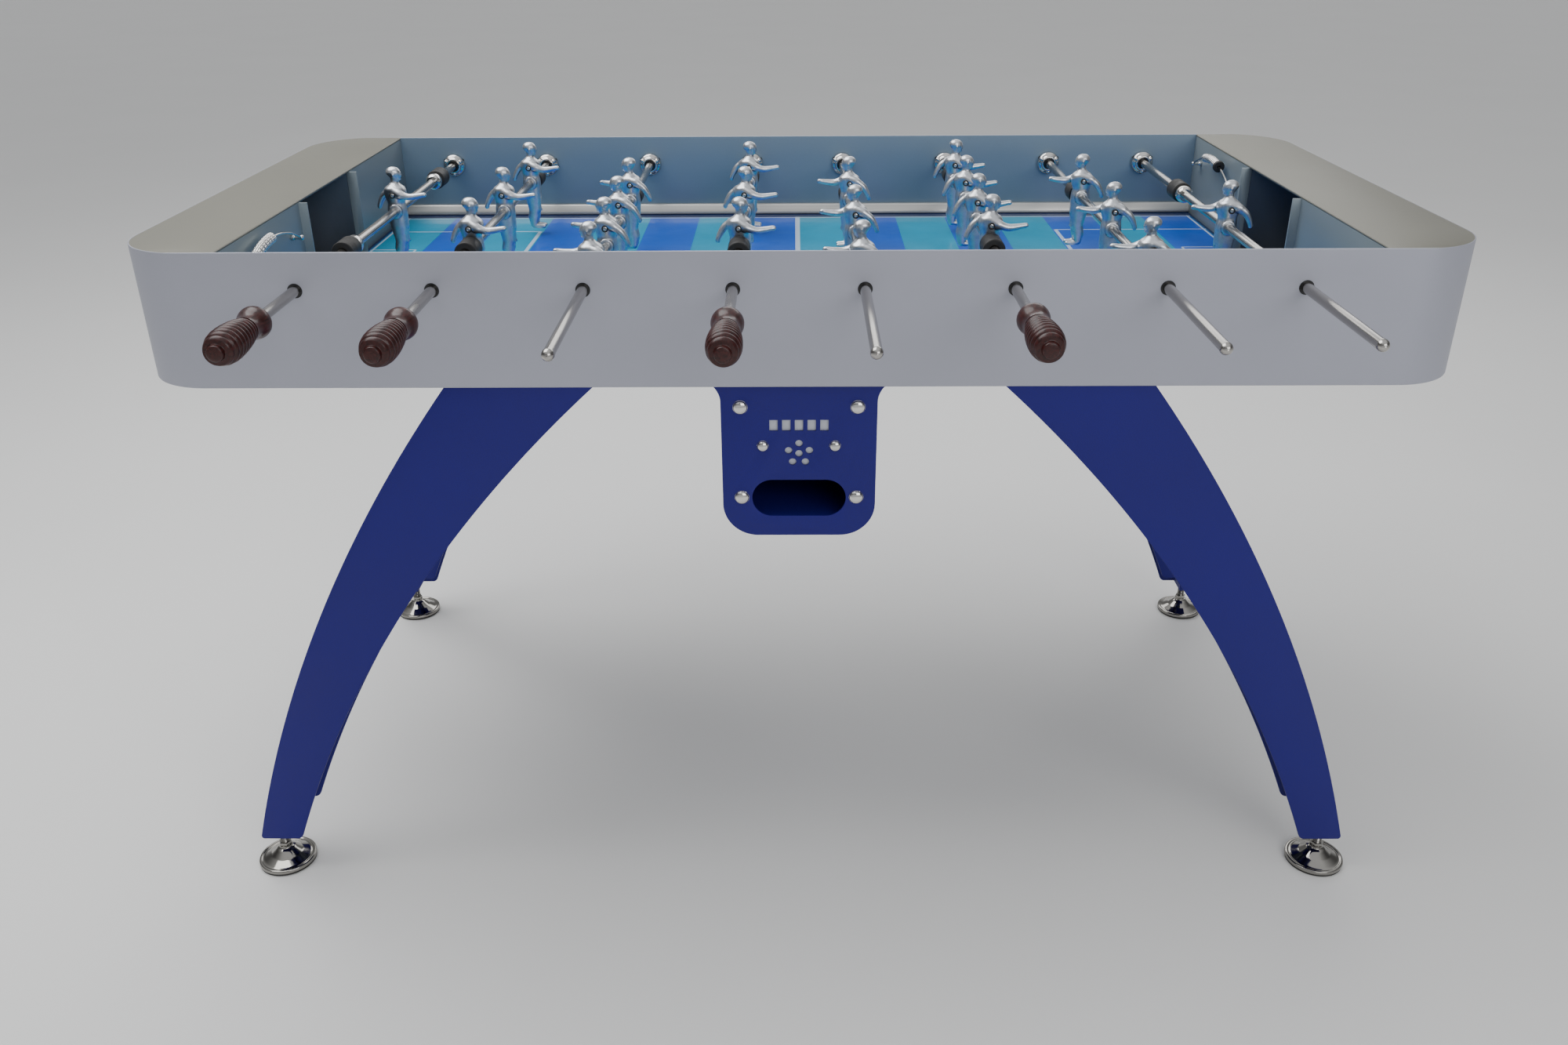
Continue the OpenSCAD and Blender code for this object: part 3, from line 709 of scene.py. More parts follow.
def varnished_wood():
    """Red-brown stained wood turned about Y, with grain along it, under a clear varnish."""

    def build(tree, bsdf):
        grain = noise(tree, object_place(tree, (1, 0.06, 1)), 420.0, 5.0, 0.65)
        pore = noise(tree, object_place(tree, (1, 0.04, 1)), 1500.0, 2.0)
        dark = mixed(tree, ramp(tree, grain, 0.35, 0.65), rgba(c * 0.45 for c in colours().wood),
                     rgba(c * 1.7 for c in colours().wood))
        tree.links.new(mixed(tree, ramp(tree, pore, 0.6, 0.75, 0.0, 0.5), dark, (0.01, 0.005, 0.004, 1)),
                       bsdf.inputs["Base Color"])
        tree.links.new(ramp(tree, grain, 0.3, 0.7, 0.30, 0.42), bsdf.inputs["Roughness"])
        bump(tree, bsdf, pore, 0.12, 0.05 * MM)

    return finish("varnished_wood", build, 0.0, Coat_Weight=0.25, Coat_Roughness=0.12,
                  Specular_IOR_Level=0.3)


def black_rubber():
    """Matt black rubber with a dusty bloom."""
    return worn("black_rubber", (0.018, 0.017, 0.016), 0.0, 0.62, 0.35, 0.2, 1100.0, 60.0, 0.06 * MM, 0.4)


def black_plastic():
    """Smooth black bearing plastic."""
    return worn("black_plastic", (0.010, 0.010, 0.011), 0.0, 0.32, 0.2, 0.1, 1300.0, 80.0)


def printed_pitch():
    """Glass over a printed pitch: bands across X in two blues, pale lines, and a dark band round its edge
    that is painted shadow beside the rails and the end walls.
    """

    def build(tree, bsdf):
        size = sizes()
        split = new_node(tree, "SeparateXYZ", Vector=object_place(tree))
        x, y = Num(tree, split.outputs[0]), Num(tree, split.outputs[1])
        far_x, far_y = x.op("ABSOLUTE"), y.op("ABSOLUTE")
        cyan = (x / (2 * size.band)).op("FRACT").op("LESS_THAN", 0.5)
        thin, wide = 1.6 * MM, 3.6 * MM
        radius = (x * x + y * y).op("SQRT")
        in_y, in_small = far_y.op("LESS_THAN", size.area_y), far_y.op("LESS_THAN", size.small_y)
        past_area, past_small = far_x.op("GREATER_THAN", size.area_x), far_x.op("GREATER_THAN", size.small_x)
        lines = (far_x.near(0.0, wide), radius.near(size.circle_r, thin),
                 far_x.near(size.area_x, wide * 0.8) * in_y, far_y.near(size.area_y, thin) * past_area,
                 far_x.near(size.small_x, thin) * in_small, far_y.near(size.small_y, thin) * past_small,
                 far_y.near(IN_Y - 38 * MM, thin), far_x.near(IN_X - 9 * MM, thin))
        line = lines[0]
        for other in lines[1:]:
            line = line.op("MAXIMUM", other)
        # Painted shadow: a dark band along the rails and the end walls.
        edge = far_y.op("GREATER_THAN", IN_Y - 34 * MM).op("MAXIMUM",
                                                           far_x.op("GREATER_THAN", IN_X - 5 * MM))
        ink = noise(tree, object_place(tree), 12.0, 4.0)
        bands = mixed(tree, cyan.socket, rgba(colours().blue), rgba(colours().cyan))
        bands = shade_by(tree, bands, ramp(tree, ink, 0.3, 0.7, 0.92, 1.06))
        lined = mixed(tree, (line * 0.85).socket, bands, rgba(colours().line))
        tree.links.new(mixed(tree, edge.socket, lined, rgba(colours().gap)), bsdf.inputs["Base Color"])
        haze = noise(tree, object_place(tree), 25.0, 4.0)
        tree.links.new(ramp(tree, haze, 0.4, 0.8, 0.30, 0.42), bsdf.inputs["Roughness"])

    return finish("printed_pitch", build, 0.0, Coat_Weight=0.18, Coat_Roughness=0.05,
                  Specular_IOR_Level=0.15)


def floor_finish():
    """Plain pale floor with a faint mottle."""
    return worn("floor", (0.78, 0.78, 0.77), 0.0, 0.6, smudge=0.02, grit=0.02, smudge_scale=1.5,
                strength=0.05)


def sky_world(tree):
    """Studio surroundings by direction: bright at the horizon and overhead, dimmer between them, and
    dimmer to the left and right."""
    place = tree.nodes.new("ShaderNodeTexCoord").outputs["Generated"]
    split = new_node(tree, "SeparateXYZ", Vector=place)
    high, across = split.outputs["Z"], Num(tree, split.outputs["X"]).op("ABSOLUTE").socket
    low_band = ramp(tree, high, 0.04, 0.22, 1.0, 0.36)
    overhead = ramp(tree, high, 0.40, 0.85, 0.0, 0.75)
    level = (Num(tree, low_band) + Num(tree, overhead)) * Num(tree, ramp(tree, across, 0.45, 0.95, 1.0, 0.42))
    background = tree.nodes["Background"]
    tree.links.new(shade_by(tree, rgba((0.97, 0.98, 1.0)), level.socket), background.inputs["Color"])
    background.inputs["Strength"].default_value = 0.80


# ---------------------------------------------------------------- tub


def softened(node, name, material, body, width):
    """A copy of a flat-sided frame node: its loose triangles are merged and joined into flat faces,
    and a Bevel modifier rounds its edges. It stands for the node."""
    mesh = frame["nodes"][node].data.copy()
    made = bpy.data.objects.new(name + "_look", mesh)
    bpy.context.scene.collection.objects.link(made)
    weld = made.modifiers.new("Weld", "WELD")
    weld.merge_threshold = 0.02 * MM
    joined = made.modifiers.new("Flat faces", "DECIMATE")
    joined.decimate_type, joined.angle_limit = "DISSOLVE", math.radians(0.6)
    bevel = made.modifiers.new("Rounding", "BEVEL")
    bevel.width, bevel.segments, bevel.limit_method = width, 2, "ANGLE"
    bevel.angle_limit, bevel.use_clamp_overlap = math.radians(40), True
    mesh = applied(made)
    mesh.name = name
    mesh.materials.clear()
    mesh.materials.append(material)
    mesh.shade_smooth()
    mesh.set_sharp_from_angle(angle=math.radians(32))
    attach(made, body)
    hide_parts(node)
    return made


def tub_wall():
    """The wrap-around wall: its upright section, with rounded edges, carried round a rectangle with
    round corners. A point of the section at offset o stands at corner centre plus (radius + o) times
    the direction from that centre. The rods' holes are cut through it."""
    size = sizes()
    r, fold = size.corner_r, size.fold
    section = eased([(-SHEET / 2, RIM_Z), (0, RIM_Z), (0, WALL_Z), (-SHEET, WALL_Z), (-SHEET, RIM_Z),
                     (-SHEET / 2, RIM_Z)], fold, 5)[:-1]
    angle = np.concatenate([np.linspace(q, q + 1, 25) for q in range(4)]) * math.pi / 2
    quarter = np.repeat(np.arange(4), 25)
    centre_x = np.where((quarter == 0) | (quarter == 3), END_X - r, r - END_X)
    centre_y = np.where(quarter < 2, SIDE_Y - r, r - SIDE_Y)
    points = np.empty((len(angle), len(section), 3))
    points[..., 0] = centre_x[:, None] + (r + section[:, 0]) * np.cos(angle)[:, None]
    points[..., 1] = centre_y[:, None] + (r + section[:, 0]) * np.sin(angle)[:, None]
    points[..., 2] = section[:, 1]
    made = add_piece("tub_wall", skin(points, loop=True), [shell_paint()], CABINET, ["side_shell"])
    hole_r = 8.3 * MM
    drill = lathe([(hole_r, -2 * SHEET), (hole_r, 2 * SHEET)], 40)
    holes = [drill.placed(Matrix.Translation((middle(f"rod_{k}", 0), side * (SIDE_Y - SHEET / 2), ROD_Z)) @
                          Matrix.Rotation(math.pi / 2, 4, "X")) for k in RODS for side in (-1, 1)]
    cutter = mesh_object("drill", together(holes), [])
    cut = made.modifiers.new("Rod holes", "BOOLEAN")
    cut.operation, cut.solver, cut.object = "DIFFERENCE", "EXACT", cutter
    mesh = applied(made)
    mesh.shade_smooth()
    mesh.set_sharp_from_angle(angle=math.radians(35))
    bpy.data.objects.remove(cutter)
    return made


def deck(side):
    """One end deck: a flat plate whose outer edge follows the tub's corners. At each place y along it
    the plate reaches from the pitch's end to the outline's x, which is a circle near the corners."""
    size = sizes()
    r, skin_t = size.corner_r, 0.05 * MM
    half = SIDE_Y - 4 * skin_t
    y = half * np.sin(np.linspace(-1, 1, 61) * math.pi / 2)
    past = np.clip(np.abs(y) - (half - r), 0, r)
    x_out = END_X - 4 * skin_t - r + np.sqrt(r * r - past * past)
    plate = slab(y, RIM_Z - SHEET, RIM_Z + skin_t, IN_X - 0.3 * MM, x_out, size.fold, axis=1)
    return plate if side > 0 else plate.placed(Matrix.Rotation(math.pi, 4, "Z"))


def rail():
    """One rail: a rounded outline in the YZ plane carried along X."""
    low, high = span("field_rails", 2)
    depth = 12 * MM
    wall = SIDE_Y - SHEET - 0.3 * MM
    outline = eased([(wall, low + 2 * MM), (wall, high), (wall - depth * 0.55, high),
                     (wall - depth, low + 5 * MM), (wall - depth, low), (wall, low), (wall, low + 2 * MM)],
                    2.5 * MM, 6)[:-1]
    x = np.linspace(*span("field_rails", 0), 4)
    points = np.empty((len(x), len(outline), 3))
    points[..., 0] = x[:, None]
    points[..., 1:] = outline
    return skin(points)


# ---------------------------------------------------------------- bearings


def turned_in(shape, x, side):
    """A shape drawn up Z from the wall's inner face, placed at a rod's bearing: side -1 or 1 in Y."""
    turn = Matrix.Rotation(math.pi / 2, 4, "X")
    if side < 0:
        turn = Matrix.Rotation(math.pi, 4, "Z") @ turn
    return shape.placed(Matrix.Translation((x, side * IN_Y, ROD_Z)) @ turn)


def bearing_places():
    """The rod's x and the side of each of the sixteen bearings."""
    return [(middle(f"rod_{k}", 0), side) for k in RODS for side in (-1, 1)]


def housing():
    """A plated cup: flange, round shoulder and a raised mouth round the sleeve."""
    outline = np.array([(11.5, 0), (18, 0), (18, 4.6), (16.6, 8.6), (12.4, 11.2), (11.2, 13.9), (8.4, 13.9),
                        (8.4, 5), (11.5, 5), (11.5, 0)]) * MM
    return lathe(eased(outline, 2.4 * MM, 7)[:-1], 48, ring=True)


def cap_nut():
    """A domed hexagon nut on a dark washer: hexagon rows with chamfered ends, then a half ball."""
    af, high, ring_r, base = 7 * MM, 4.6 * MM, 13.1 * MM, 4.9 * MM
    sides = 30
    angle = np.arange(sides) * TAU / sides
    hexagon = af / 2 / np.cos(angle % (TAU / 6) - TAU / 12)
    dome = np.linspace(0, 1, 7)[1:-1] * math.pi / 2
    rows = [(0.0, 0.9 * hexagon), (0.0, 0.97 * hexagon), (0.08, hexagon), (0.9, hexagon),
            (1.0, 0.88 * hexagon)]
    rows += [(1 + 0.62 * math.sin(a), np.full(sides, 0.45 * af * math.cos(a))) for a in dome]
    points = np.array([np.stack((r * np.cos(angle), r * np.sin(angle), np.full(sides, h * high)), -1)
                       for h, r in rows])
    washer = lathe([(5.1 * MM, -1.5 * MM), (5.1 * MM, 1.2 * MM), (4.2 * MM, 1.6 * MM)], 24, slot=1)
    nut = (skin(points).at(z=1.5 * MM) + washer).at(x=ring_r, z=base)
    return together(nut.placed(Matrix.Rotation(math.radians(a), 4, "Z")) for a in (30, 150, 270))


# ---------------------------------------------------------------- rods and handles


def rod_turn(k):
    """The placing of rod k's own frame: centred on the rod, turned half round on an away rod, whose
    handle is on the far side."""
    away = middle(f"handle_{k}", 1) > 0
    place = Matrix.Translation((middle(f"rod_{k}", 0), middle(f"bumpers_{k}", 1), ROD_Z))
    return place @ Matrix.Rotation(math.pi if away else 0, 4, "Z")


ALONG_ROD = Matrix.Rotation(math.pi / 2, 4, "X")


def handle():
    """A turned grip: a collar, a waist and a long bulge, on one smooth curve of radius against
    length. Grooves are cut where a sine over the bulge passes zero, and a button closes the end."""
    size = sizes()
    long = span("handle_1", 1)[1] - span("handle_1", 1)[0]
    marks = np.array([(0, 10.4), (0.8, 14.6), (4, 17.0), (9, 17.4), (15, 16.2), (22, 14.0), (29, 13.2),
                      (36, 14.0), (46, 15.9), (60, 17.6), (74, 18.5), (86, 18.3), (96, 16.6), (104, 13.4)])
    s = np.linspace(0, marks[-1, 0], 240)
    curve = smooth_path(np.column_stack((marks, np.zeros(len(marks)))), 240)
    r = np.interp(s, curve[:, 0], curve[:, 1])
    first, last = 33.0, 104.0
    over = np.clip((s - first) / (last - first), 0, 1)
    ridge = np.abs(np.sin(np.pi * size.grooves * over)) ** 0.7
    cut = np.where((s > first) & (s < last), 1 - ridge, 0) * size.groove_depth / MM
    body = np.column_stack((r - cut, s))
    button = eased([(10.4, 104.4), (9.0, 104.6), (8.6, 106.2), (8.2, 109.2), (5, 109.9), (0.05, 110)],
                   1.0, 5)
    profile = np.vstack(([(6.05, -0.0)], body, button)) * MM
    profile[:, 1] *= long / (110 * MM)
    return lathe(profile, 56)


def bumper():
    """A rubber ring with rounded rims, from its outer face at zero towards the players."""
    long = 34 * MM
    inner, outer = ROD_R + 0.1 * MM, 14 * MM
    outline = [(outer, long / 2), (outer, 0), (inner, 0), (inner, long), (outer, long), (outer, long / 2)]
    return lathe(eased(outline, 1.6 * MM, 6)[:-1][::-1], 48, ring=True)


def ball_collar():
    """A plated barrel beside a goalkeeper's bumper: a circle's arc turned round the rod."""
    start, long = 34.3 * MM, 18 * MM
    inner, outer = ROD_R + 0.1 * MM, 12 * MM
    t = np.linspace(-1, 1, 17)
    bulge = np.column_stack((outer * np.sqrt(1 - 0.42 * t**4 - 0.05 * t**2), start + long * (t + 1) / 2))
    outline = np.vstack((bulge, [(inner, start + long), (inner, start)]))
    return lathe(outline, 48, slot=1, ring=True)


def bumper_end(k):
    """Distance of a bumper's outer face from the rod's middle."""
    low, high = span(f"bumpers_{k}", 1)
    return (high - low) / 2


# ---------------------------------------------------------------- cast players


def loft(stations, count=28, sides=28, power=2.3):
    """A trunk-like form: at each height z an oval with its middle at x, y and half sizes a and b. The
    values between the stations follow one smooth curve, and the oval is a superellipse."""
    st = np.asarray(stations, float)
    rows = np.column_stack([smooth_path(np.column_stack((st[:, 0], st[:, c], st[:, 0])), count)[:, 1]
                            for c in range(1, 5)])
    z = smooth_path(np.column_stack((st[:, 0],) * 3), count)[:, 0]
    angle = np.arange(sides) * TAU / sides
    cos, sin = np.cos(angle), np.sin(angle)
    size = (np.abs(cos) ** power + np.abs(sin) ** power) ** (-1 / power)
    points = np.empty((count, sides, 3))
    points[..., 0] = rows[:, :1] + rows[:, 2:3] * size * cos
    points[..., 1] = rows[:, 1:2] + rows[:, 3:4] * size * sin
    points[..., 2] = z[:, None]
    return skin(points)


def ball(centre, radii, sides=20):
    """An ellipsoid with its poles up and down."""
    a = np.linspace(0.04, math.pi - 0.04, 13)[::-1]
    shape = lathe(np.column_stack((np.sin(a), np.cos(a))), sides)
    return shape.placed(Matrix.Translation(centre) @ Matrix.Diagonal(tuple(radii) + (1,)))


def limb(points, radii, up=(0, 1, 0)):
    """A limb along a smooth curve through the points, its radius eased between theirs."""
    path = smooth_path(points, 22)
    radius = np.interp(np.linspace(0, 1, 22), np.linspace(0, 1, len(radii)), radii)
    return tube(path, radius, 18, up)


def figure_forms():
    """The overlapping forms of one player, in millimetres, facing +X with the rod at the origin."""
    trunk = loft([(-13, 0, 0, 12.4, 10.2), (-5, 0, 0, 13.6, 10.9), (3, 0, 0, 13.2, 10.9),
                  (11, -.2, 0, 12.2, 10.2), (18, 0, 0, 14.2, 11.2), (25, 0, 0, 15.6, 12.2),
                  (31, 0, 0, 13.6, 12.6), (35, .2, 0, 8.6, 9), (38.5, .8, 0, 5.6, 5.6)], 34)
    neck = loft([(34, .4, 0, 6.6, 6.4), (39, 1, 0, 5.6, 5.4), (44, 1.6, 0, 5.8, 5.6)], 10)
    head = loft([(39.6, 3.4, 0, 3.2, 3), (42, 3, 0, 5.8, 4.8), (46, 2.3, 0, 7.9, 6.5),
                 (50.5, 1.9, 0, 8.9, 7.4), (54.5, 1.5, 0, 8.4, 7), (58, 1.2, 0, 5.4, 4.8),
                 (59.5, 1.2, 0, 1.4, 1.4)], 30, 32, 2.1)
    hair = ball((0.1, 0, 52.4), (9.5, 8.1, 7.3))
    face = (ball((10.6, 0, 48.2), (1.7, 1.2, 2.2)) + ball((9.8, 0, 46.9), (1.9, 1.5, 1.0)) +
            ball((8.6, 0, 42.6), (1.9, 2.3, 1.6)) + ball((9.0, 0, 44.8), (1.2, 2.4, 0.6)) +
            limb([(8.6, -4.4, 51.2), (10.4, 0, 51.5), (8.6, 4.4, 51.2)], [0.7, 1.0, 0.7], (0, 0, 1)))
    parts = [trunk, neck, head, hair, face]
    for side in (-1, 1):
        parts.append(ball((1.6, side * 7.5, 49.3), (1.7, 1.1, 2.6)))
        parts.append(loft([(-14, 0, side * 4.4, 12.2, 6.4), (-24, .6, side * 4.6, 11.4, 6.1),
                           (-34, 1.0, side * 4.7, 9.6, 5.7), (-41, 1.6, side * 4.7, 8.9, 5.6),
                           (-47, .2, side * 4.8, 8.4, 5.4), (-53, -.6, side * 4.8, 8.5, 5.3),
                           (-60, -.9, side * 4.9, 6.6, 4.9), (-66, -.6, side * 5, 5.6, 4.6)], 30, 24))
        parts.append(ball((-1.2, side * 5, -65.2), (4.9, 4.0, 4.6)))
        parts.append(limb([(0, side * 5.1, -65.4), (8, side * 5.6, -66.2), (14.6, side * 6, -66.6)],
                          [4.1, 3.5, 3.1]))
        parts.append(ball((9.9, side * 4.8, -43), (2.0, 1.6, 2.0)))
    shorts = loft([(-25, .6, 0, 11, 10.5), (-22, .6, 0, 12.4, 10.9), (-12, .1, 0, 13, 10.9),
                   (-6, 0, 0, 13, 10.6)], 14, 28, 2.6)
    boss = lathe(eased([(8.6, -11.6), (8.8, -11.6), (8.8, 11.6), (8.6, 11.6)], 0.5), 32)
    fore = [(0, -7, 28.6), (8, -11.2, 24.4), (20, -12.2, 20.6), (31, -11, 21.2), (40, -10.3, 22.6)]
    back = [(-1, 7, 28.6), (-9, 10.6, 26.4), (-19, 12.2, 19.6), (-24.6, 11.8, 11.5), (-27.6, 11.3, 5)]
    parts += [shorts, boss.placed(ALONG_ROD), limb(fore, [6.2, 5.4, 4.7, 4.0, 3.3]),
              limb(fore[:2] + [(13, -11.9, 22.4)], [6.6, 6.0, 5.4]),
              ball((42.2, -10.2, 22.7), (3.9, 3.0, 3.4)), ball((41.2, -8.2, 24.6), (2.4, 1.3, 1.2)),
              limb(back, [6.2, 5.4, 4.7, 4.0, 3.3]),
              limb(back[:2] + [(-13.4, 11.4, 23.6)], [6.6, 6.0, 5.4]),
              ball((-28, 11.2, 3.3), (3.4, 3.0, 3.9)), ball((-26.4, 10, 5.0), (1.3, 1.3, 2.4))]
    return together(parts).placed(Matrix.Scale(MM, 4))


def fused(shape, voxel):
    """Overlapping forms fused into one skin by a voxel remesh and smoothed. Returns the shape and,
    for each vertex, how much painted shade it gets in the figure's recesses: how far its neighbours'
    middle lies above it along the normal, smoothed along the edges."""
    rough = mesh_object("rough", shape, [])
    remesh = rough.modifiers.new("Fuse", "REMESH")
    remesh.mode, remesh.voxel_size = "VOXEL", voxel
    smooth = rough.modifiers.new("Smooth", "SMOOTH")
    smooth.factor, smooth.iterations = 0.5, 3
    mesh = applied(rough)
    verts = np.empty(len(mesh.vertices) * 3)
    mesh.vertices.foreach_get("co", verts)
    normals = np.empty(len(verts))
    mesh.vertex_normals.foreach_get("vector", normals)
    quads = np.empty(len(mesh.loops), int)
    mesh.loops.foreach_get("vertex_index", quads)
    edges = np.empty(len(mesh.edges) * 2, int)
    mesh.edges.foreach_get("vertices", edges)
    bpy.data.objects.remove(rough)
    verts, normals, edges = verts.reshape(-1, 3), normals.reshape(-1, 3), edges.reshape(-1, 2)
    count = np.bincount(edges.ravel(), minlength=len(verts))

    def around(values):
        """The mean of each vertex's neighbours."""
        total = np.zeros_like(values)
        np.add.at(total, edges[:, 0], values[edges[:, 1]])
        np.add.at(total, edges[:, 1], values[edges[:, 0]])
        return total / count.reshape((-1,) + (1,) * (values.ndim - 1))

    hollow_shade = ((around(verts) - verts) * normals).sum(1)
    for _ in range(4):
        hollow_shade = 0.5 * hollow_shade + 0.5 * around(hollow_shade)
    return Shape(verts, quads), np.clip(hollow_shade / (0.05 * MM), 0, 1)


def chest_screw(figure):
    """A screw across the chest: on each side a dark ring round a plated head with a hexagon socket.
    Each stands on the figure's outermost surface at its own x and height."""
    place_x, height = -0.5 * MM, 23.0 * MM
    ring = lathe(np.array([(2.6, -3), (4.2, -3), (4.3, 0.3), (3.8, 0.7), (3.0, 0.7), (2.6, 0.1)]) * MM, 28,
                 slot=1, ring=True)
    head = lathe(np.array([(2.7, -3), (2.7, 0.3), (2.3, 0.7), (1.3, 0.8), (1.2, 0.1), (0.2, 0.0)]) * MM, 24,
                 slot=2)
    close = np.hypot(figure.verts[:, 0] - place_x, figure.verts[:, 2] - height) < 3 * MM
    sides = []
    for side in (-1, 1):
        reach = (side * figure.verts[close, 1]).max()
        turn = Matrix.Rotation(-side * math.pi / 2, 4, "X")
        sides.append((ring + head).placed(Matrix.Translation((place_x, side * reach, height)) @ turn))
    return together(sides)


def player_rows(k):
    """Where the players stand along rod k's own Y: evenly between the outermost two, whose places
    come from the width of the whole row less the width of one player."""
    count = PLAYER_COUNT[k]
    row = span(f"players_{k}", 1)[1] - span(f"players_{k}", 1)[0]
    one = span("players_1", 1)[1] - span("players_1", 1)[0]
    reach = (row - one) / 2
    return [0.0] if count == 1 else np.linspace(-reach, reach, count)


# ---------------------------------------------------------------- score counters


def counter(side):
    """Centre of a counter's arch and the radius of its wire's middle line."""
    joint = next(j for j in frame["joints"] if j["name"] == f"beads_{'left' if side < 0 else 'right'}_slide")
    centre = np.array(joint["pos_m"])
    return centre, span("score_wires", 2)[1] - 1.5 * MM - centre[2]


def on_arch(shape, centre, radius, angle):
    """A shape drawn along Y at the top of the arch, moved round it by an angle towards +Y."""
    return shape.at(z=radius).placed(Matrix.Translation(centre) @ Matrix.Rotation(-angle, 4, "X"))


def score_wire(side):
    """The wire, round along its arc, with a turned post at each end that reaches the end wall."""
    centre, radius = counter(side)
    half = math.asin(91 * MM / radius)
    a = np.linspace(-half, half, 40)
    path = np.stack((np.full(40, centre[0]), centre[1] + radius * np.sin(a),
                     centre[2] + radius * np.cos(a)), -1)
    wire = tube(path, 1.5 * MM, 14, up=(1, 0, 0))
    gap = IN_X + 0.3 * MM - abs(centre[0])
    profile = np.array([(0.1, -3), (1.8, -3), (3.4, -1.6), (3.4, 2.4), (2.5, 3.4), (2.5, 8.5),
                        (3.5, 9.4), (3.5, gap / MM), (0.1, gap / MM)]) * MM
    post = lathe(eased(profile, 0.6 * MM, 4), 24)
    along = post.placed(Matrix.Rotation(side * math.pi / 2, 4, "Y"))
    return wire + together(on_arch(along, centre, radius, end) for end in (-half, half))


def score_beads(side):
    """Eight knurled beads and a rubber ring on the wire. A bead is a turned disc along Y whose radius
    dips between its teeth and at two grooves round it."""
    size = sizes()
    centre, radius = counter(side)
    wide, outer, hole = 7.6 * MM, 6.5 * MM, 1.85 * MM
    step = 7.9 * MM / radius
    start = math.radians(BEAD_START[side])
    t = np.linspace(-1, 1, 19)
    angle = np.arange(4 * size.teeth) * TAU / (4 * size.teeth)
    groove = np.abs(np.sin(1.5 * math.pi * t)) < 0.35
    rim = 1 - 0.16 * np.clip((np.abs(t) - 0.82) / 0.18, 0, 1) ** 2 - 0.05 * groove
    tooth = 1 - 0.045 * (0.5 - 0.5 * np.cos(size.teeth * angle))
    outside = outer * rim[:, None] * tooth[None]
    inside = np.full((2, len(angle)), hole)
    r = np.vstack((outside, inside))
    y = np.concatenate((t, (1, -1))) * wide / 2
    points = np.stack((r * np.cos(angle), np.broadcast_to(y[:, None], r.shape), -r * np.sin(angle)), -1)
    bead = skin(points, loop=True)
    profile = np.array([(8.5, 0), (8.5, -3), (hole / MM, -3), (hole / MM, 3), (8.5, 3), (8.5, 0)]) * MM
    ring = lathe(eased(profile, 1.6 * MM, 6)[:-1][::-1], 40, slot=1, ring=True)
    ring = ring.placed(Matrix.Rotation(-math.pi / 2, 4, "X"))
    beads = [on_arch(bead, centre, radius, start + i * step) for i in range(8)]
    return together(beads + [on_arch(ring, centre, radius, start - step)])


# ---------------------------------------------------------------- legs, feet and pocket


def bowed(z, top, foot, bow):
    """The x of an arc through two points (x, z), bowed outwards by a given height: the circle's
    centre lies on the chord's middle normal, and x follows from its equation."""
    (x1, z1), (x2, z2) = top, foot
    chord = math.hypot(x2 - x1, z2 - z1)
    radius = (chord**2 / 4 + bow**2) / (2 * bow)
    normal = ((z1 - z2) / chord, (x2 - x1) / chord)
    cx = (x1 + x2) / 2 - normal[0] * (radius - bow)
    cz = (z1 + z2) / 2 - normal[1] * (radius - bow)
    return cx + np.sqrt(radius**2 - (z - cz) ** 2)


def leg():
    """One leg in the +X +Y quarter: two blades that narrow and bow towards the foot, a web between
    them near their outer edge, a top plate and a block round the foot's stem."""
    size = sizes()
    low, high = span("legs", 2)
    top_out, foot_out = END_X - 360 * MM, END_X - 25 * MM

    def outer(z):
        """The x of the blades' outer edge."""
        return bowed(z, (top_out, WALL_Z), (foot_out, low), 35 * MM)

    def inner(z):
        """The x of the blades' inner edge."""
        return bowed(z, (top_out - 173 * MM, WALL_Z), (foot_out - 57 * MM, low), 47 * MM)

    face, blade, gap, lift = IN_Y - 0.3 * MM, 5 * MM, 46 * MM, 33 * MM
    corner = size.blade_corner

    def blade_at(y, bottom):
        """One blade from y outwards, with round lower corners."""
        z = np.concatenate((bottom + corner * (1 - np.cos(np.linspace(0, math.pi / 2, 8))),
                            np.linspace(bottom + corner, high, 60)[1:]))
        rise = np.clip(z - bottom, 0, corner)
        cut = corner - np.sqrt(corner**2 - (corner - rise) ** 2)
        return slab(z, inner(z) + cut, outer(z) - cut, y, y + blade, size.blade_fold)

    gap_y = face - blade - gap
    z = np.linspace(low + 40 * MM, high, 40)
    web = slab(z, outer(z) - 17 * MM, outer(z) - 14 * MM, gap_y - 0.5 * MM, face - blade + 0.5 * MM, 0.5 * MM)
    z = np.linspace(high - 4 * MM, high, 4)
    top = slab(z, inner(z) + 1 * MM, outer(z) - 1 * MM, gap_y - 0.5 * MM, face - blade + 0.5 * MM, 0.5 * MM)
    z = np.linspace(low + 4 * MM, low + 40 * MM, 6)
    stem_x = foot_out - 22 * MM
    block = slab(z, stem_x - 13 * MM, np.minimum(stem_x + 26 * MM, outer(z) - 1 * MM), gap_y - 0.5 * MM,
                 face - blade + 0.5 * MM, 1 * MM)
    return blade_at(face - blade, low) + blade_at(gap_y - blade, low + lift) + web + top + block


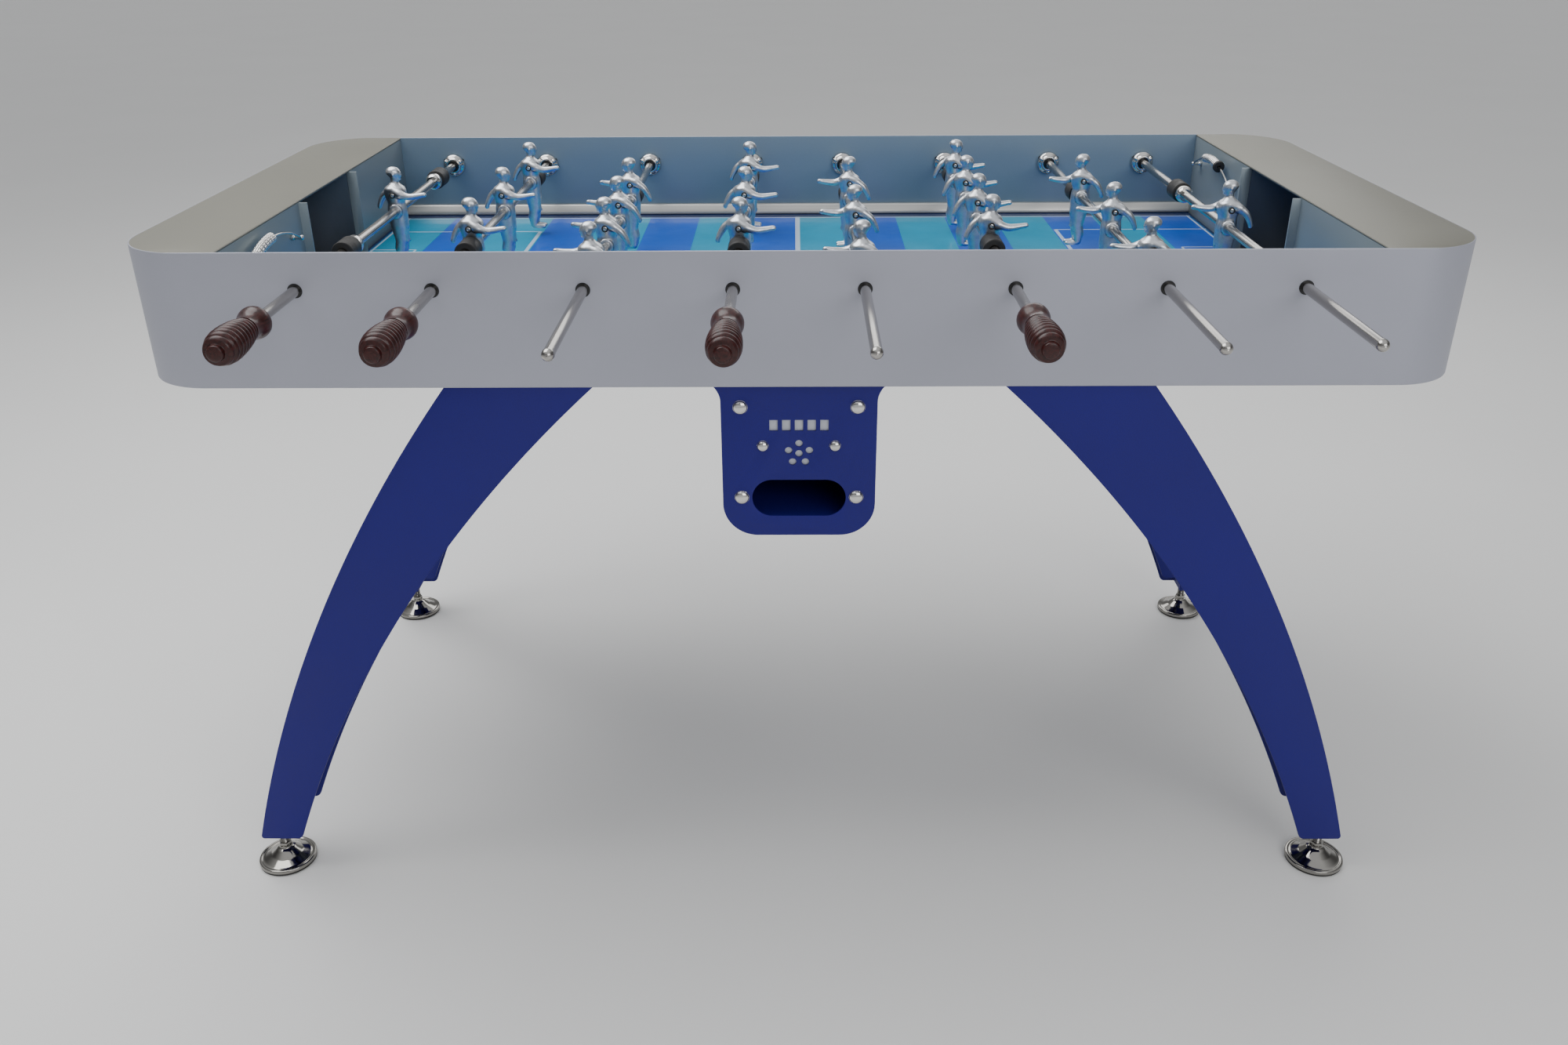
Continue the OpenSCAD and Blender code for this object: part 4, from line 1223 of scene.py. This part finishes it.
def levelling_foot(top):
    """A plated foot: rubber sole, pad with a rolled rim, a steep cone, a hexagon neck and a threaded
    stem, whose radius runs in a sine along its height."""
    sole = lathe(np.array([(0.1, 0), (36.4, 0), (38, 1), (38, 3.2), (0.1, 3.2)]) * MM, 64, slot=1)
    pad = eased([(0.1, 3.1), (38.4, 3.1), (39, 5), (38.2, 8.4), (35.4, 8.9), (33.6, 7.8), (31, 8.6), (21, 14),
                 (12.5, 21.5), (8, 24), (8, 30), (0.1, 30)], 1.6, 6)
    neck = lathe(np.array([(0.1, 26), (8.6, 26), (9.2, 27), (9.2, 31.4), (8.6, 32.4), (0.1, 32.4)]) * MM, 6)
    z = np.linspace(30, top / MM, 260)
    thread = np.column_stack((5.72 + 0.28 * np.sin(z * TAU / 1.75), z))
    stem = lathe(np.vstack((thread, [(0.1, top / MM)])) * MM, 24)
    return sole + lathe(pad * MM, 64) + neck + stem


def dome_bolt(radius, high):
    """A domed bolt head on a thin flange, drawn up Z."""
    a = np.linspace(0, math.pi / 2, 12)
    dome = np.column_stack((radius * 0.97 * np.cos(a), high * (0.16 + 0.84 * np.sin(a))))
    return lathe(np.vstack(([(radius, 0), (radius, high * 0.12)], dome[:-1], [(0.02 * MM, high)])), 40)


# ---------------------------------------------------------------- operators


def finished(operator, made):
    """An operator's result, or an error if it made nothing, because a cancelled one stops nothing."""
    if not made:
        raise RuntimeError(f"{operator.bl_label} made nothing")
    return {"FINISHED"}


def painted(node, material):
    """Puts a material and its slot on a frame node that is shown as it is."""
    thing = frame["nodes"][node]
    thing.data.materials.clear()
    thing.data.materials.append(material)
    return thing


class TABLE_OT_tub(bpy.types.Operator):
    """Builds the wrap-around wall, the two end decks and the two rails"""

    bl_idname = "table.tub"
    bl_label = "Tub, decks and rails"
    bl_options = {"REGISTER", "UNDO"}

    def execute(self, context):
        """The three painted pieces of the tub."""
        add_piece("end_decks", together([deck(-1), deck(1)]), [deck_paint()], CABINET, ["end_decks"])
        far = rail()
        near = far.placed(Matrix.Rotation(math.pi, 4, "Z"))
        add_piece("field_rails", far + near, [rail_metal()], CABINET, ["field_rails"])
        return finished(self, tub_wall())


class TABLE_OT_inner_walls(bpy.types.Operator):
    """Builds the end walls with their goal mouths, and the goal boxes and troughs behind them"""

    bl_idname = "table.inner_walls"
    bl_label = "End walls and goals"
    bl_options = {"REGISTER", "UNDO"}

    def execute(self, context):
        """The folded sheet pieces, with rounded edges."""
        fold = sizes().fold / 2
        softened("goal_boxes", "goal_boxes", dark_sheet(), CABINET, fold)
        return finished(self, softened("end_walls", "end_walls", wall_paint(), CABINET,
                                       fold))


class TABLE_OT_pitch(bpy.types.Operator):
    """Finishes the printed glass and the board under it"""

    bl_idname = "table.pitch"
    bl_label = "Pitch"
    bl_options = {"REGISTER", "UNDO"}

    def execute(self, context):
        """Materials on the two plain panels."""
        painted("playfield_board", board_laminate())
        return finished(self, painted("playfield_glass", printed_pitch()))


class TABLE_OT_bearings(bpy.types.Operator):
    """Builds the sixteen bearing cups and their cap nuts, and finishes the plastic sleeves"""

    bl_idname = "table.bearings"
    bl_label = "Bearings"
    bl_options = {"REGISTER", "UNDO"}

    def execute(self, context):
        """One cup and one set of nuts, placed at each bearing."""
        plating, rubber, plastic = chrome(), black_rubber(), black_plastic()
        cup, nuts = housing(), cap_nut()
        for k in RODS:
            painted(f"sleeves_{k}", plastic)
        add_piece("bearing_nuts", together(turned_in(nuts, *p) for p in bearing_places()),
                  [plating, rubber], CABINET, ["bearing_nuts"], 28)
        made = add_piece("bearing_cups", together(turned_in(cup, *p) for p in bearing_places()),
                         [plating], CABINET, ["bearing_housings"])
        return finished(self, made)


class TABLE_OT_rods(bpy.types.Operator):
    """Builds the handles, rubber bumpers and collars, and finishes the steel rods"""

    bl_idname = "table.rods"
    bl_label = "Rods, handles and bumpers"
    bl_options = {"REGISTER", "UNDO"}

    def execute(self, context):
        """One handle and one pair of bumpers for each rod."""
        steel, wood, rubber, plating = rod_steel(), varnished_wood(), black_rubber(), chrome()
        grip, stop, barrel = handle(), bumper(), ball_collar()
        for k in RODS:
            painted(f"rod_{k}", steel)
            place = rod_turn(k)
            body = f"player_rod_{k}"
            out = place @ Matrix.Translation((0, -HANDLE_START, 0)) @ ALONG_ROD
            add_piece(f"handle_{k}", grip.placed(out), [wood], body, [f"handle_{k}"])
            pair = stop + barrel if k in (1, 8) else stop
            inward = Matrix.Translation((0, -bumper_end(k), 0)) @ Matrix.Rotation(-math.pi / 2, 4, "X")
            other = Matrix.Rotation(math.pi, 4, "Z") @ inward
            made = add_piece(f"bumpers_{k}", pair.placed(place @ inward) + pair.placed(place @ other),
                             [rubber, plating], body, [f"bumpers_{k}"])
        return finished(self, made)


class TABLE_OT_players(bpy.types.Operator):
    """Builds one cast figure and places a copy at every player's place"""

    bl_idname = "table.players"
    bl_label = "Players"
    bl_options = {"REGISTER", "UNDO"}

    def execute(self, context):
        """Fused figure, the painted shade of its recesses as an attribute, and the chest screws."""
        figure, hollow_shade = fused(figure_forms(), sizes().voxel)
        screw = chest_screw(figure)
        materials = [cast_metal(), black_rubber(), chrome()]
        for k in RODS:
            place = rod_turn(k)
            spots = [place @ Matrix.Translation((0, y, 0)) for y in player_rows(k)]
            whole = together([figure.placed(p) for p in spots] + [screw.placed(p) for p in spots])
            made = add_piece(f"players_{k}", whole, materials, f"player_rod_{k}", [f"players_{k}"],
                             60)
            # Each vertex gets the painted shade of the figure's recesses.
            values = np.zeros(len(made.data.vertices))
            values[:len(hollow_shade) * len(spots)] = np.tile(hollow_shade, len(spots))
            layer = made.data.attributes.new("hollow_shade", "FLOAT", "POINT")
            layer.data.foreach_set("value", values)
        return finished(self, made)


class TABLE_OT_counters(bpy.types.Operator):
    """Builds the two score counters: bowed wires and knurled beads"""

    bl_idname = "table.counters"
    bl_label = "Score counters"
    bl_options = {"REGISTER", "UNDO"}

    def execute(self, context):
        """Wires on the cabinet, and each set of beads on its own body."""
        plating, rubber = chrome(), black_rubber()
        for side, name in ((-1, "left"), (1, "right")):
            add_piece(f"score_beads_{name}", score_beads(side), [plating, rubber], f"beads_{name}",
                      [f"score_beads_{name}"])
        made = add_piece("score_wires", score_wire(-1) + score_wire(1), [plating], CABINET,
                         ["score_wires"])
        return finished(self, made)


class TABLE_OT_legs(bpy.types.Operator):
    """Builds the four legs and their levelling feet"""

    bl_idname = "table.legs"
    bl_label = "Legs and feet"
    bl_options = {"REGISTER", "UNDO"}

    def execute(self, context):
        """One leg mirrored into the four quarters, and one turned foot on each foot's body."""
        one = leg()
        quarters = [one.placed(Matrix.Diagonal((sx, sy, 1, 1))) for sx in (-1, 1) for sy in (-1, 1)]
        rubber, plating = black_rubber(), dark_plating()
        foot = levelling_foot(span("foot_front_left", 2)[1])
        for node, body in (("foot_front_left", "foot_fl"), ("foot_front_right", "foot_fr"),
                           ("foot_rear_left", "foot_rl"), ("foot_rear_right", "foot_rr")):
            add_piece(node, foot.at(middle(node, 0), middle(node, 1)), [plating, rubber], body, [node])
        made = add_piece("legs", together(quarters), [leg_coat()], CABINET, ["legs"])
        return finished(self, made)


class TABLE_OT_pocket(bpy.types.Operator):
    """Builds the ball pocket: the pierced plate, the box behind it and the bolts"""

    bl_idname = "table.pocket"
    bl_label = "Ball pocket"
    bl_options = {"REGISTER", "UNDO"}

    def execute(self, context):
        """Rounded copies of the plate and box, and the six domed bolts."""
        fold = sizes().fold / 2
        softened("pocket_box", "pocket_box", leg_coat(), CABINET, fold)
        plate = softened("pocket_plate", "pocket_plate", leg_coat(), CABINET, fold)
        low, high = span("pocket_bolts", 1)
        reach = span("pocket_bolts", 0)[1]
        long = high - low
        turn = Matrix.Translation((0, high, 0)) @ Matrix.Rotation(math.pi / 2, 4, "X")
        bottom, top = span("pocket_bolts", 2)
        big, small = BOLT_R
        spots = [(reach - big, top - big, big), (reach - big, bottom + big, big),
                 (MIDDLE_BOLT_X, WALL_Z - MIDDLE_BOLT_DROP, small)]
        back = span("pocket_plate", 1)[1]
        liner = slab([-LINER_X, 0, LINER_X], back + 0.05 * MM, back + 0.25 * MM,
                     WALL_Z - LINER_LOW, WALL_Z - LINER_HIGH, 0.05 * MM, axis=0)
        add_piece("pattern_liner", liner, [pale_liner()], CABINET, [])
        heads = [dome_bolt(r, long).placed(Matrix.Translation((side * x, 0, z)) @ turn)
                 for x, z, r in spots for side in (-1, 1)]
        add_piece("pocket_bolts", together(heads), [chrome()], CABINET, ["pocket_bolts"])
        return finished(self, plate)


# ---------------------------------------------------------------- stage


def area_light(name, place, target, size, power, tint=(1, 1, 1)):
    """A soft rectangular lamp aimed at a point."""
    lamp = bpy.data.lights.new(name, "AREA")
    lamp.shape, lamp.size, lamp.size_y = "RECTANGLE", size[0], size[1]
    lamp.energy, lamp.color = power, tint
    made = bpy.data.objects.new(name, lamp)
    away = Vector(place) - Vector(target)
    made.rotation_euler = away.to_track_quat("Z", "Y").to_euler()
    made.location = place
    bpy.context.scene.collection.objects.link(made)
    return made


class TABLE_OT_stage(bpy.types.Operator):
    """Lays the floor and sets the light and the camera"""

    bl_idname = "table.stage"
    bl_label = "Stage"
    bl_options = {"REGISTER", "UNDO"}

    def execute(self, context):
        """A pale floor, one large lamp overhead with two fills, and the camera."""
        stage = context.scene.table_stage
        half = FLOOR_HALF
        corners = np.array([(-half, -half, 0), (half, -half, 0), (half, half, 0), (-half, half, 0)])
        floor = mesh_object("floor", Shape(corners, [(0, 1, 2, 3)]), [floor_finish()])
        for lamp in LAMPS:
            area_light(*lamp)
        world = bpy.data.worlds.new("studio")
        world.use_nodes = True
        sky_world(world.node_tree)
        context.scene.world = world
        data = bpy.data.cameras.new("camera")
        data.lens, data.sensor_width, data.sensor_fit = stage.lens, 36, "HORIZONTAL"
        data.clip_start, data.clip_end = 0.05, 120
        camera = bpy.data.objects.new("camera", data)
        camera.matrix_world = (Matrix.Translation((CAMERA_X, stage.camera_y, stage.camera_z)) @
                               Matrix.Rotation(stage.yaw, 4, "Z") @
                               Matrix.Rotation(math.pi / 2 - stage.pitch, 4, "X") @
                               Matrix.Rotation(stage.roll, 4, "Z"))
        context.scene.collection.objects.link(camera)
        context.scene.camera = camera
        return finished(self, camera)


# ---------------------------------------------------------------- panel and registration


PIECES = (TABLE_OT_tub, TABLE_OT_inner_walls, TABLE_OT_pitch, TABLE_OT_bearings, TABLE_OT_rods,
          TABLE_OT_players, TABLE_OT_counters, TABLE_OT_legs, TABLE_OT_pocket, TABLE_OT_stage)
GROUPS = (TableSizes, TableColours, TableStage)


class TABLE_PT_panel(bpy.types.Panel):
    """The sidebar panel with every operator, in building order"""

    bl_label = "Table football"
    bl_idname = "TABLE_PT_panel"
    bl_space_type = "VIEW_3D"
    bl_region_type = "UI"
    bl_category = "Table football"

    def draw(self, context):
        """One button for each operator."""
        for piece in PIECES:
            self.layout.operator(piece.bl_idname)


def register():
    """Registers the classes and hangs the settings on the scene."""
    for item in GROUPS + PIECES + (TABLE_PT_panel,):
        bpy.utils.register_class(item)
    bpy.types.Scene.table_sizes = PointerProperty(type=TableSizes)
    bpy.types.Scene.table_colours = PointerProperty(type=TableColours)
    bpy.types.Scene.table_stage = PointerProperty(type=TableStage)


def unregister():
    """Takes the settings and the classes away again."""
    del bpy.types.Scene.table_stage, bpy.types.Scene.table_colours, bpy.types.Scene.table_sizes
    for item in (TABLE_PT_panel,) + PIECES[::-1] + GROUPS[::-1]:
        bpy.utils.unregister_class(item)


def main():
    """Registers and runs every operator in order."""
    register()
    for piece in PIECES:
        family, name = piece.bl_idname.split(".")
        getattr(getattr(bpy.ops, family), name)()


if __name__ == "__main__":
    main()
